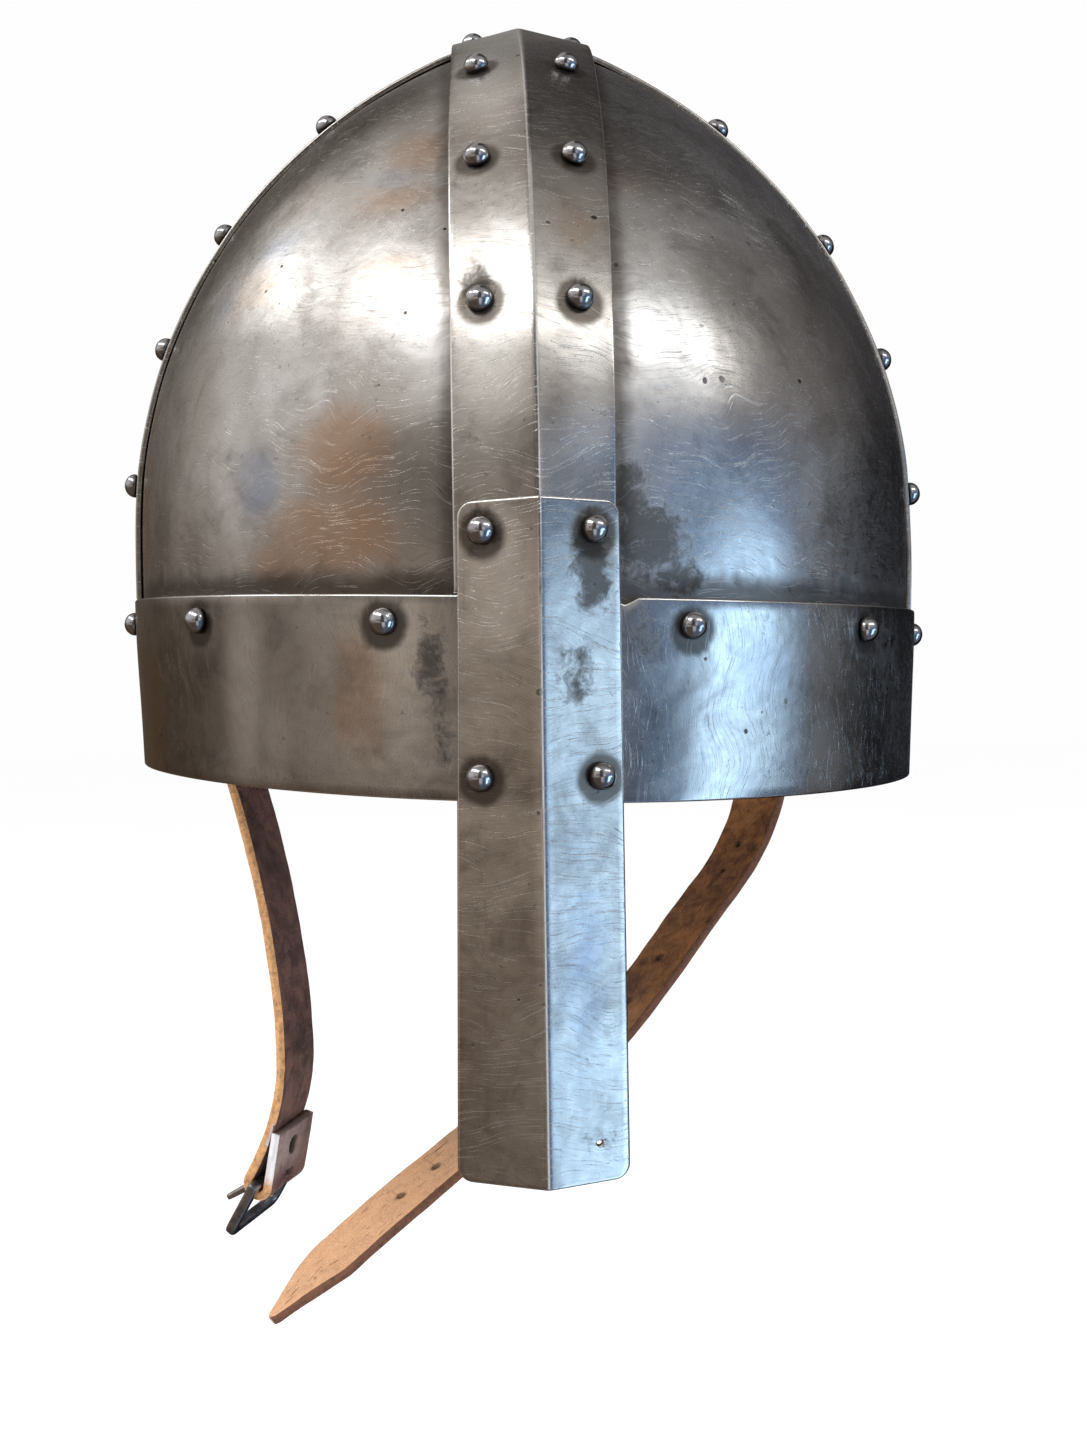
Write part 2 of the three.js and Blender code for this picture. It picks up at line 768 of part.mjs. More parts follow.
// The prong's side view is an eye round the bar with a straight shank, extruded across
function prongGeometry() {
  const eyeInner = foldInnerRadius;
  const eyeOuter = eyeInner + prongEyeWall;
  const shankHalf = prongThickness / 2;
  const tipHalf = shankHalf * 0.7;
  const join = Math.asin(shankHalf / eyeOuter);
  const shape = new THREE.Shape();
  shape.absarc(0, 0, eyeOuter, -Math.PI / 2 + join, 1.5 * Math.PI - join, false);
  shape.lineTo(-tipHalf, -prongLength + tipHalf);
  shape.lineTo(-tipHalf / 2, -prongLength);
  shape.lineTo(tipHalf / 2, -prongLength);
  shape.lineTo(tipHalf, -prongLength + tipHalf);
  const eye = new THREE.Path();
  eye.absarc(0, 0, eyeInner, 0, 2 * Math.PI, true);
  shape.holes.push(eye);
  const geometry = new THREE.ExtrudeGeometry(shape, {
    depth: prongWidth,
    bevelEnabled: false,
    curveSegments: 6,
  });
  geometry.translate(0, 0, -prongWidth / 2);
  geometry.rotateY(Math.PI / 2);
  geometry.rotateX(prongOpenAngle * degrees);
  return placeAtBar(geometry);
}

// Materials

function metal(color, roughness) {
  return new THREE.MeshStandardMaterial({ color, roughness, metalness: 1 });
}

function leather(color) {
  return new THREE.MeshStandardMaterial({ color, roughness: 0.7, metalness: 0 });
}

const steel = metal(steelColour, 0.35);
const darkSteel = metal(darkSteelColour, 0.4);
const brightSteel = metal(brightSteelColour, 0.2);
const brownLeather = leather(brownLeatherColour);
const tanLeather = leather(tanLeatherColour);

// Assembly

const group = new THREE.Group();

function addPiece(name, geometry, material) {
  const mesh = new THREE.Mesh(geometry, material);
  mesh.name = name;
  group.add(mesh);
  return mesh;
}

const sideNames = { '-1': 'left', 1: 'right' };
const endNames = { '-1': 'front', 1: 'back' };

for (const sideY of [-1, 1]) {
  for (const sideX of [-1, 1]) {
    addPiece(`plate_${endNames[sideY]}_${sideNames[sideX]}`, plateGeometry(sideX, sideY), steel);
  }
}
addPiece('cross_band', crossBandGeometry(), steel);
addPiece('ridge_band', ridgeBandGeometry(), steel);
addPiece('brow_band', browBandGeometry(), darkSteel);
addPiece('nasal', nasalGeometry(), steel);
addPiece('strap_with_buckle', buckleStrapGeometry(), brownLeather);
addPiece('strap_with_holes', tailStrapGeometry(), tanLeather);
addPiece('buckle_frame', buckleFrameGeometry(), brightSteel);
addPiece('buckle_prong', prongGeometry(), brightSteel);

const rivetShape = rivetGeometry();

function addRivet(name, seat, normal) {
  const rivet = addPiece(`rivet_${name}`, rivetShape, brightSteel);
  rivet.position.copy(along(seat, normal, gap));
  rivet.quaternion.setFromUnitVectors(vec(0, 1, 0), normal);
}

// A rivet on one slope of the ridge band
function addRidgeRivet(name, sideX, sideY, z) {
  const section = ridgeSection(sideY, z);
  const next = ridgeSection(sideY, z + 1);
  const edge = section.outer[sideX < 0 ? 0 : 2];
  const ridge = section.outer[1];
  const seat = ridge.clone().lerp(edge, ridgeRivetShare[sideX < 0 ? 'left' : 'right']);
  const lengthwise = next.outer[1].clone().sub(ridge);
  const normal = lengthwise.cross(edge.clone().sub(ridge)).normalize();
  if (normal.dot(section.normal) < 0) normal.negate();
  addRivet(name, seat, normal);
}

// A rivet on the apex, where the ridge band crosses the cross band
function addApexRivet(name, sideX, reach) {
  const section = ridgeSection(1, domeHeight);
  const edge = section.outer[sideX < 0 ? 0 : 2];
  const ridge = section.outer[1];
  const seat = ridge.clone().lerp(edge, reach / Math.abs(edge.x));
  const slope = Math.atan2(ridge.z - edge.z, Math.abs(edge.x));
  addRivet(name, seat, vec(sideX * Math.sin(slope), 0, Math.cos(slope)));
}

function addCrossRivet(name, sideX, sideY, z) {
  const seat = crossBandPoint(sideX, z, sideY * crossRivetReach, crossBuild);
  addRivet(name, seat, domeNormal(seat));
}

function browRivetHeight(azimuth) {
  return browTopHeight(azimuth) - browRivetDrop;
}

function addBrowRivet(name, azimuth) {
  const base = domePoint(azimuth, browRivetHeight(azimuth));
  const normal = levelNormal(base);
  addRivet(name, along(base, normal, browBuild), normal);
}

function addNasalRivet(name, sideX, height, reach) {
  const [left, ridge, right] = nasalRow({ z: height, inset: 0, peak: 0 });
  const next = nasalRow({ z: height + 1, inset: 0, peak: 0 })[1];
  const edge = sideX < 0 ? left : right;
  const seat = ridge.clone().lerp(edge, reach / Math.abs(edge.x));
  const normal = next.sub(ridge).cross(edge.clone().sub(ridge)).normalize();
  if (normal.y > 0) normal.negate();
  addRivet(name, along(seat, normal, nasalThickness), normal);
}

for (const sideX of [-1, 1]) {
  const side = sideNames[sideX];
  addApexRivet(`apex_${side}`, sideX, apexRivetReach[side]);
  ridgeRivetHeights.forEach((z, i) => addRidgeRivet(`ridge_front_${i + 1}_${side}`, sideX, -1, z));
  [...ridgeRivetHeights, ridgeRivetFootHeight].forEach((z, i) => {
    addRidgeRivet(`ridge_back_${i + 1}_${side}`, sideX, 1, z);
  });
  crossRivetHeights.forEach((row, i) => {
    for (const sideY of [-1, 1]) {
      addCrossRivet(`cross_${side}_${i + 1}_${endNames[sideY]}`, sideX, sideY, row[side]);
    }
  });
  browRivetAzimuths.forEach((azimuth, i) => {
    addBrowRivet(`brow_front_${i + 1}_${side}`, sideX * azimuth * degrees);
  });
  const crossAngle = Math.acos(crossRivetReach / domeHalfLength);
  addBrowRivet(`brow_side_front_${side}`, sideX * crossAngle);
  addBrowRivet(`brow_side_back_${side}`, sideX * (Math.PI - crossAngle));
  const strap = sideX < 0 ? buckleStrap : tailStrap;
  addBrowRivet(`brow_strap_${side}`, sideX * strap.azimuth * degrees);
  addBrowRivet(`brow_back_${side}`, sideX * browRivetBackAzimuth * degrees);
  nasalRivetRows.forEach((row, i) => addNasalRivet(`nasal_${i + 1}_${side}`, sideX, row.height, row[side]));
}

export default group;
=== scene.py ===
import math

import bmesh
import bpy
import numpy as np
from mathutils import Matrix, Vector


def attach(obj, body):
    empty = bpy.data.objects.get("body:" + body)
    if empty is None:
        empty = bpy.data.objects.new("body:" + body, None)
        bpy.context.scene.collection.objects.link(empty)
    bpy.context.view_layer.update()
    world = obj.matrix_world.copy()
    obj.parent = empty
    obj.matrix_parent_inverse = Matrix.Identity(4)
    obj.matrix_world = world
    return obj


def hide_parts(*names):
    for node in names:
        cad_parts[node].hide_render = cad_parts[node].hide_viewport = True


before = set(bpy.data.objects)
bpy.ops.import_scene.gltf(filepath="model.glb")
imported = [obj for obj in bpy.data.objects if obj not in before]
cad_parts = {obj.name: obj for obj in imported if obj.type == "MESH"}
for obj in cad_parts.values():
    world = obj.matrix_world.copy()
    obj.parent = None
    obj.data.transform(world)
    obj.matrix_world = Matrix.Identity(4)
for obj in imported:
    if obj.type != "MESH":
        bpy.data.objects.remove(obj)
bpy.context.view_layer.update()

MM = 0.001

# Sizes in millimetres, as in the part's source
GAP = 0.3
FACET_SLACK = 0.15
BAND_SEAT = GAP + FACET_SLACK
HALF_WIDTH = 102.9
HALF_LENGTH = 117.9
HEIGHT = 199.4
DOME_HEIGHTS = [0, 0.11, 0.22, 0.302, 0.403, 0.504, 0.605, 0.705, 0.786, 0.857, 0.907, 0.956, 0.983, 1]
DOME_REACHES = [0.981, 0.989, 0.998, 1, 0.993, 0.957, 0.888, 0.784, 0.663, 0.523, 0.391, 0.233, 0.11, 0]
PLATE_THICKNESS = 1.5
PLATE_FOOT = 22
PLATE_TUCK = 8
RIDGE_LEFT = 18.6
RIDGE_LEFT_TOP = 17.6
RIDGE_RIGHT_TOP = 18.4
RIDGE_RIGHT_FOOT = 16.7
RIDGE_THICKNESS = 1.6
RIDGE_CREST = 3.4
APEX_CREST = 2.6
RIDGE_STEP = 52
CROSS_HALF = 17.4
CROSS_THICKNESS = 1.5
BROW_HEIGHT = 45.2
BROW_THICKNESS = 1.8
BROW_FOOT_RISE = 3.0
BROW_TOP_RISE = 0.9
BROW_TILT = 2.9
NASAL_TOP = 65.6
NASAL_DROP = 82.6
NASAL_REACH_TOP = 17.6
NASAL_REACH_FOOT = {-1: 19.7, 1: 18.2}
NASAL_RIDGE = 8.4
NASAL_THICKNESS = 2.0
NASAL_CORNER = 3.4
NASAL_PEAK = 0.5
NASAL_HOLE = (11.3, 8.5, 1.3)
RIVET_RADIUS = 3.1
RIVET_HEIGHT = 3.2
BROW_RIVET_DROP = 6
STRAP_WIDTH = 20.5
STRAP_THICKNESS = 2.8
STRAP_HEAD_ROOM = 7
STRAP_LEAVE = 38.5
BUCKLE_STRAP = {
    "side": -1,
    "azimuth": 112,
    "length": 162,
    "leans": [3, 16, 19, 14, 11, 7, 0, -21, -33],
    "swings": [0, 0, 0, 0, 0, 0, 3, 8, 10],
}
TAIL_STRAP = {
    "side": 1,
    "azimuth": 127,
    "length": 269,
    "leans": [3, 4, 22, 47, 45, 48, 66, 63, 61, 59, 54],
    "swings": [0, 0],
}
TAIL_POINT = 21
TAIL_TIP = 3
STRAP_HOLE = 2.6
STRAP_HOLES = [48, 61, 77, 93, 109, 124, 140, 157]
SMALL_HOLE = 1.8
SMALL_HOLES = [192, 202]
BAR_WIDTH = 2.8
BUCKLE_THICKNESS = 3.0
SIDE_BAR = 3.0
END_BAR = 3.0
SIDE_CLEARANCE = 0.6
LOOP = 14.0
BUCKLE_CORNER = 3.2
BEVEL = 0.5
FOLD_TURN = 198
FOLD_LENGTH = 17.8
SLOT_WIDTH = 5.0
SLOT_RISE = 4.6
FOLD_HOLE = (3.0, 6.0, 11.2)
PRONG_WIDTH = 4.0
PRONG_THICKNESS = 2.6
PRONG_LENGTH = 18.6
PRONG_WALL = 1.3
PRONG_OPEN = 28
INNER_EDGE_SHARE = 0.7


# Small helpers

def unit(v):
    return v / np.maximum(np.linalg.norm(v, axis=-1, keepdims=True), 1e-12)


def smooth(share):
    t = np.clip(share, 0, 1)
    return t * t * (3 - 2 * t)


def fall(distance, near, far):
    return 1 - smooth((distance - near) / (far - near))


def make_curve(xs, ys):
    xs = np.array(xs, float)
    ys = np.array(ys, float)
    slopes = np.diff(ys) / np.diff(xs)
    tangents = np.concatenate([slopes[:1], np.zeros(len(xs) - 2), slopes[-1:]])
    for i in range(1, len(xs) - 1):
        product = slopes[i - 1] * slopes[i]
        if product > 0:
            tangents[i] = 2 * product / (slopes[i - 1] + slopes[i])

    def curve(x):
        x = np.asarray(x, float)
        i = np.clip(np.searchsorted(xs, x) - 1, 0, len(xs) - 2)
        step = xs[i + 1] - xs[i]
        t = (x - xs[i]) / step
        rise = ys[i + 1] - ys[i]
        start = tangents[i] * step
        end = tangents[i + 1] * step
        inside = ys[i] + t * (start + t * (3 * rise - 2 * start - end + t * (start + end - 2 * rise)))
        low = ys[0] + tangents[0] * (x - xs[0])
        high = ys[-1] + tangents[-1] * (x - xs[-1])
        return np.where(x <= xs[0], low, np.where(x >= xs[-1], high, inside))

    return curve


def waves(seed, shortest, longest, count=14):
    """A smooth uneven surface: a function of points, about -1 to 1."""
    rng = np.random.default_rng(seed)
    turns = unit(rng.normal(size=(count, 3)))
    lengths = shortest * (longest / shortest) ** rng.random(count)
    shifts = rng.random(count) * 2 * math.pi
    weights = (lengths / longest) ** 0.8

    def value(p):
        phase = p @ (turns / lengths[:, None] * 2 * math.pi).T + shifts
        return (np.sin(phase) * weights).sum(-1) / weights.sum() * 2

    return value


def spline(rows, t):
    """Rows of points or vectors at fractional places, on a smooth curve through all of them."""
    rows = np.asarray(rows, float)
    ends = [2 * rows[:1] - rows[1:2], rows, 2 * rows[-1:] - rows[-2:-1]]
    wide = np.concatenate(ends)
    i = np.clip(np.floor(t).astype(int), 0, len(rows) - 2)
    f = (t - i).reshape(-1, *[1] * (rows.ndim - 1))
    a, b, c, d = wide[i], wide[i + 1], wide[i + 2], wide[i + 3]
    return 0.5 * (2 * b + f * (c - a) + f * f * (2 * a - 5 * b + 4 * c - d) + f ** 3 * (3 * b - a - 3 * c + d))


def run_lengths(points):
    return np.concatenate([[0], np.cumsum(np.linalg.norm(np.diff(points, axis=0), axis=1))])


def places(length, count, radius, turns=4):
    """Distances along a length, with a fan of short steps in the rounded ends."""
    fan = radius * (1 - np.cos(np.linspace(0, math.pi / 2, turns + 1)[:-1]))
    middle = np.linspace(radius, length - radius, count)
    return np.concatenate([fan, middle, length - fan[::-1]])


def side_drop(distance, length, radius):
    """The height share left at a distance from the nearer rounded end."""
    near = np.minimum(distance, length - distance)
    return np.where(near < radius, np.sqrt(np.clip(1 - (1 - near / radius) ** 2, 0, 1)), 1.0)


# Meshes

def add_mesh(name, points, faces, uvs, masks, material, body, replaced):
    mesh = bpy.data.meshes.new(name)
    points = np.asarray(points, float)
    mesh.from_pydata((points * MM).tolist(), [], [list(f) for f in faces])
    if uvs is not None:
        layer = mesh.uv_layers.new(name="along_across")
        layer.data.foreach_set("uv", (np.asarray(uvs, float) * MM).ravel())
    finish_mesh(mesh)
    set_masks(mesh, masks)
    return add_piece(name, mesh, material, body, replaced)


def finish_mesh(mesh):
    mesh.validate()
    work = bmesh.new()
    work.from_mesh(mesh)
    bmesh.ops.recalc_face_normals(work, faces=work.faces)
    work.to_mesh(mesh)
    work.free()
    mesh.polygons.foreach_set("use_smooth", [True] * len(mesh.polygons))
    mesh.update()


def set_masks(mesh, masks):
    points = np.empty(len(mesh.vertices) * 3)
    mesh.vertices.foreach_get("co", points)
    points = points.reshape(-1, 3) / MM
    for key, mask in masks.items():
        values = mask(points) if callable(mask) else np.asarray(mask, float).ravel()
        made = mesh.attributes.new(key, "FLOAT", "POINT")
        made.data.foreach_set("value", np.clip(values, 0, 1))


def add_piece(name, mesh, material, body, replaced):
    mesh.materials.append(material)
    piece = bpy.data.objects.new(name, mesh)
    bpy.context.scene.collection.objects.link(piece)
    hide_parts(*replaced)
    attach(piece, body)
    return piece


def sheet_mesh(outer, inner, along, across, ring=False):
    """Closes the space between two grids. Gives points, faces and each face corner's lengths along and across."""
    rows, columns = outer.shape[:2]
    points = np.concatenate([outer.reshape(-1, 3), inner.reshape(-1, 3)])
    base = rows * columns
    faces, uvs = [], []

    def place(r, c, side):
        return side * base + r * columns + c % columns

    def add(*corners):
        faces.append([place(*k) for k in corners])
        uvs.extend((along[r], across[c]) for r, c, _ in corners)

    last = columns if ring else columns - 1
    for r in range(rows - 1):
        for c in range(last):
            add((r, c, 0), (r, c + 1, 0), (r + 1, c + 1, 0), (r + 1, c, 0))
            add((r, c, 1), (r + 1, c, 1), (r + 1, c + 1, 1), (r, c + 1, 1))
    for c in range(last):
        add((0, c, 0), (0, c, 1), (0, c + 1, 1), (0, c + 1, 0))
        add((rows - 1, c, 0), (rows - 1, c + 1, 0), (rows - 1, c + 1, 1), (rows - 1, c, 1))
    if not ring:
        for r in range(rows - 1):
            add((r, 0, 0), (r + 1, 0, 0), (r + 1, 0, 1), (r, 0, 1))
            add((r, last, 0), (r, last, 1), (r + 1, last, 1), (r + 1, last, 0))
    return points, faces, uvs


def thick_sheet(outer, direction, thickness, along, across, radius, ring=False):
    """Gives a sheet its thickness and rounded edges. direction points out of it, along and across are lengths."""
    share = side_drop(along, along[-1], radius)[:, None]
    if not ring:
        share = share * side_drop(across, across[-1], radius)[None, :]
    else:
        share = np.repeat(share, outer.shape[1], axis=1)
    drop = (radius * (1 - share))[..., None]
    return outer - direction * drop, outer - direction * (thickness - drop * INNER_EDGE_SHARE)


# The dome's form

dome_table = make_curve(np.array(DOME_HEIGHTS) * HEIGHT, DOME_REACHES)


def dome_reach(z):
    z = np.asarray(z, float)
    window = np.clip(0.6 * (HEIGHT - z), 0, 8)
    total = 0
    for shift, weight in ((-1, 1), (-0.67, 2), (-0.33, 3), (0, 4), (0.33, 3), (0.67, 2), (1, 1)):
        total = total + weight * dome_table(z + shift * window)
    return total / 16


def dome_field(p):
    return np.hypot(p[..., 0] / HALF_WIDTH, p[..., 1] / HALF_LENGTH) - dome_reach(p[..., 2])


def dome_normal(p):
    x, y, z = p[..., 0], p[..., 1], p[..., 2]
    ring = np.hypot(x / HALF_WIDTH, y / HALF_LENGTH)
    safe = np.maximum(ring, 1e-6)
    slope = (dome_reach(z + 0.25) - dome_reach(z - 0.25)) / 0.5
    normal = unit(np.stack([x / (HALF_WIDTH ** 2 * safe), y / (HALF_LENGTH ** 2 * safe), -slope], -1))
    return np.where((ring < 1e-4)[..., None], np.array([0, 0, 1.0]), normal)


def drop_to_dome(start, direction):
    near = np.zeros(start.shape[:-1])
    far = near + 60
    for _ in range(34):
        middle = (near + far) / 2
        out = dome_field(start + direction * middle[..., None]) > 0
        near = np.where(out, middle, near)
        far = np.where(out, far, middle)
    return start + direction * near[..., None]


def dome_point(azimuth, z):
    reach = dome_reach(z)
    flat = np.broadcast_arrays(HALF_WIDTH * reach * np.sin(azimuth), -HALF_LENGTH * reach * np.cos(azimuth), z)
    return np.stack(flat, -1)


def level_normal(p):
    return unit(dome_normal(p) * np.array([1, 1, 0]))


def dome_top(reach):
    low, high = 0.302 * HEIGHT, HEIGHT
    for _ in range(40):
        middle = (low + high) / 2
        if dome_reach(middle) > reach:
            low = middle
        else:
            high = middle
    return (low + high) / 2


def even_heights(bottom, top, shares):
    """Heights at shares of the way up the dome's side profile."""
    z = np.linspace(bottom, top, 400)
    run = run_lengths(np.stack([HALF_LENGTH * dome_reach(z), z], -1))
    return np.interp(shares * run[-1], run, z), run[-1]


def brow_foot(azimuth):
    return BROW_FOOT_RISE * np.sin(azimuth) ** 2 - BROW_TILT * np.sin(azimuth)


def brow_top(azimuth):
    return BROW_HEIGHT + BROW_TOP_RISE * np.sin(azimuth) ** 2 - BROW_TILT * np.sin(azimuth)


BROW_BUILD = BAND_SEAT + BROW_THICKNESS
CROSS_BUILD = BAND_SEAT + CROSS_THICKNESS

# Rivets: each head's seat and direction are read from its solid


def rivet_place(node):
    mesh = node.data
    points = np.empty(len(mesh.vertices) * 3)
    mesh.vertices.foreach_get("co", points)
    points = np.unique(np.round(points.reshape(-1, 3) / MM, 3), axis=0)
    low, high = points.min(0), points.max(0)
    centre = (low + high) / 2
    _, _, axes = np.linalg.svd(points - points.mean(0))
    best = None
    for axis in axes:
        height = (points - centre) @ axis
        reach = np.linalg.norm(points - centre - height[:, None] * axis, axis=1)
        spread = height.max() - height.min()
        if best is None or abs(spread - RIVET_HEIGHT) < best[0]:
            if reach[height > height.mean()].mean() > reach[height <= height.mean()].mean():
                axis = -axis
            best = (abs(spread - RIVET_HEIGHT), axis)
    axis = best[1]
    height = points @ axis
    base = points[height < height.min() + 0.05]
    return base.mean(0), axis


rivets = {name: rivet_place(node) for name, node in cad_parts.items() if name.startswith("rivet_")}
rivet_seats = np.array([seat for seat, _ in rivets.values()])


def near_rivets(p, near, far):
    distance = np.full(len(p), 1e9)
    for seat in rivet_seats:
        shifted = p - seat + np.array([0, 0, 0.8])
        distance = np.minimum(distance, np.linalg.norm(shifted, axis=1))
    return fall(distance, near, far)


def spots(table):
    """Soft patches: each row is a centre, its reach along x, y and z, and its strength."""
    def value(p):
        total = np.zeros(len(p))
        for centre, reach, strength in table:
            distance = np.linalg.norm((p - np.array(centre)) / np.array(reach), axis=1)
            total = np.maximum(total, strength * fall(distance, 0.25, 1.15))
        return total

    return value


# Materials

class Signal:
    """An output in a node tree, written like a number. | gives the larger of two."""

    def __init__(self, graph, socket):
        self.graph, self.socket = graph, socket

    def __add__(self, other):
        return self.graph.math("ADD", self, other)

    def __sub__(self, other):
        return self.graph.math("SUBTRACT", self, other)

    def __rsub__(self, other):
        return self.graph.math("SUBTRACT", other, self)

    def __mul__(self, other):
        return self.graph.math("MULTIPLY", self, other)

    def __or__(self, other):
        return self.graph.math("MAXIMUM", self, other)

    __radd__, __rmul__ = __add__, __mul__

    def swing(self, amount):
        """A noise's rise and fall around nought."""
        return (self - 0.5) * amount

    def step(self, low, high):
        return self.graph.get("MapRange", "Result", {"interpolation_type": "SMOOTHSTEP"},
                              Value=self, From_Min=low, From_Max=high)

    def span(self, low, high, first, last):
        return self.graph.get("MapRange", "Result", Value=self, From_Min=low, From_Max=high,
                              To_Min=first, To_Max=last)


class Graph:
    """A short way to write a node tree."""

    def __init__(self, tree):
        self.tree = tree
        tree.nodes.clear()

    def fill(self, node, **inputs):
        """Sets or links inputs by name, with _ for a space, or by number as in i0."""
        for key, value in inputs.items():
            socket = node.inputs[int(key[1:]) if key[1:].isdigit() else key.replace("_", " ")]
            if isinstance(value, Signal):
                self.tree.links.new(value.socket, socket)
            else:
                socket.default_value = value

    def add(self, kind, settings=None, **inputs):
        node = self.tree.nodes.new("ShaderNode" + kind)
        for key, value in (settings or {}).items():
            setattr(node, key, value)
        self.fill(node, **inputs)
        return node

    def get(self, kind, output=0, settings=None, **inputs):
        return Signal(self, self.add(kind, settings, **inputs).outputs[output])

    def math(self, operation, a, b=0.0):
        return self.get("Math", 0, {"operation": operation}, i0=a, i1=b)

    def noise(self, vector, scale, detail=3.0, roughness=0.55, distortion=0.0):
        return self.get("TexNoise", "Fac", Vector=vector, Scale=scale, Detail=detail, Roughness=roughness,
                        Distortion=distortion)

    def scaled(self, vector, size, turn=0.0, shift=(0, 0, 0)):
        return self.get("Mapping", Vector=vector, Scale=size, Rotation=(0, 0, turn), Location=shift)

    def layered(self, colour, *layers):
        """Lays colours over one another, each with its share."""
        for over, share in layers:
            colour = self.get("Mix", 2, {"data_type": "RGBA"}, i0=share, i6=colour, i7=over)
        return colour

    def mask(self, name):
        return self.get("Attribute", "Fac", {"attribute_name": name})

    def bent(self, vector, scale, amount):
        """Coordinates bent by a broad noise, so that straight marks become curved ones."""
        wide = self.get("TexNoise", "Color", Vector=vector, Scale=scale, Detail=1.0)
        middle = self.get("VectorMath", 0, {"operation": "SUBTRACT"}, i0=wide, i1=(0.5, 0.5, 0.5))
        size = self.get("VectorMath", 0, {"operation": "SCALE"}, i0=middle, Scale=amount)
        return self.get("VectorMath", 0, {"operation": "ADD"}, i0=vector, i1=size)


def new_material(name):
    """A material, its graph and shader, and the piece's own and unrolled coordinates."""
    material = bpy.data.materials.new(name)
    material.use_nodes = True
    g = Graph(material.node_tree)
    shader = g.add("BsdfPrincipled")
    g.add("OutputMaterial", Surface=Signal(g, shader.outputs[0]))
    return material, g, shader, g.get("TexCoord", "Object"), g.get("UVMap", 0, {"uv_map": "along_across"})


def rgb(r, g, b):
    return (r, g, b, 1.0)


def steel_material(name, base, pale, dark, roughness, wear, shift):
    """Polished steel that oil and handling have darkened: swirled scratches, mottling, stains, pits, worn edges,
    coppery tarnish; its masks also paint highlights, reflections and shadow onto it.
    """
    material, g, shader, place, flat = new_material(name)
    place = g.scaled(place, (1, 1, 1), 0, shift)
    broad = g.noise(place, 16, 3, 0.55, 0.4)
    patchy = g.noise(place, 70, 6, 0.62, 0.6)
    grit = g.noise(place, 420, 6, 0.7, 0.2)
    speckle = g.noise(place, 1500, 3, 0.6)
    swirl = g.bent(flat, 38, 0.022)
    brushed = g.noise(g.scaled(swirl, (4200, 190, 1), 0.5), 1, 4, 0.6)
    crossed = g.noise(g.scaled(swirl, (170, 3900, 1), -0.35), 1, 4, 0.6)
    scratch = 0.0
    for turn, sizes, low, high in (
        (0.9, (2900, 70, 1), 0.665, 0.70),
        (-0.6, (2600, 55, 1), 0.665, 0.70),
        (2.1, (3300, 90, 1), 0.67, 0.705),
        (0.15, (2400, 45, 1), 0.67, 0.705),
    ):
        scratch = g.noise(g.scaled(swirl, sizes, turn, (turn, 3 * turn, 0)), 1, 2, 0.5).step(low, high) | scratch
    cells = g.add("TexVoronoi", Vector=g.bent(place, 90, 0.004), Scale=210.0, Randomness=1.0)
    size = g.get("SeparateColor", Color=Signal(g, cells.outputs["Color"])).span(0.55, 1.0, 0.0, 0.16)
    pit = (size + grit * 0.03 - Signal(g, cells.outputs["Distance"])).step(0.0, 0.05)
    pit = pit * g.noise(place, 30, 2).step(0.42, 0.62)
    specks = g.noise(g.scaled(place, (1, 1, 1), 0, (3, 1, 2)), 620, 2, 0.5).step(0.70, 0.76)
    stain, edge = g.mask("stain"), g.mask("edge")
    torn = g.noise(place, 210, 10, 0.78, 0.5).swing(1.0)
    stained = (stain + torn * 2.4).step(0.38, 0.95) * stain.step(0.0, 0.35)
    # grime, with painted shadow beside the bands' edges and at the rivets' feet
    grime_and_painted_shadow = (g.mask("grime_and_painted_shadow") * 1.1 + patchy.swing(0.9)).step(0.2, 0.9)
    cloud = g.noise(place, 42, 7, 0.62, 0.9).swing(1.5)
    colour = g.layered(
        base,
        (pale, broad.step(0.38, 0.66)),
        (dark, patchy.step(0.47, 0.76) * 0.5),
        # coppery tarnish, partly painted warm reflection of the room's warm left side
        (rgb(0.44, 0.265, 0.155), (g.mask("copper_tint_and_reflection") + cloud).step(0.15, 1.25) * 0.72),
        # painted reflection: blue patches where the steel would mirror the blue window
        (rgb(0.20, 0.26, 0.38), (g.mask("painted_blue_reflection") + cloud).step(0.2, 1.3) * 0.6),
        # painted highlight: pale patches where the steel would mirror a window
        (rgb(0.72, 0.70, 0.67), g.mask("painted_highlight") * 0.8),
        (dark, grime_and_painted_shadow * 0.88),
        (pale, scratch * 0.35),
        (dark, brushed.step(0.52, 0.72) * 0.22),
        (rgb(0.05, 0.042, 0.036), stained * 0.72),
        (rgb(0.02, 0.016, 0.013), pit * 0.92 | specks * 0.35),
        (rgb(0.78, 0.77, 0.75), (edge + grit * 0.3).step(0.62, 0.95) * wear),
    )
    rough = (roughness + broad.swing(0.16) + grit.swing(0.22) + brushed.swing(0.16) + stained * 0.22
             + grime_and_painted_shadow * 0.12 + pit * 0.3 + edge * -0.12)
    height = (brushed * 0.20 + crossed * 0.16 + grit * 0.30 + speckle * 0.10 + scratch * -0.65 + pit * -1.6
              + stained * -0.35)
    wide = g.get("Bump", Height=g.noise(place, 45, 3, 0.5), Distance=0.0012, Strength=0.35)
    fine = g.get("Bump", Height=height, Distance=0.00006, Strength=0.5, Normal=wide)
    g.fill(shader, Base_Color=colour, Roughness=rough | 0.09, Metallic=1.0, Anisotropic=0.25, Normal=fine)
    return material


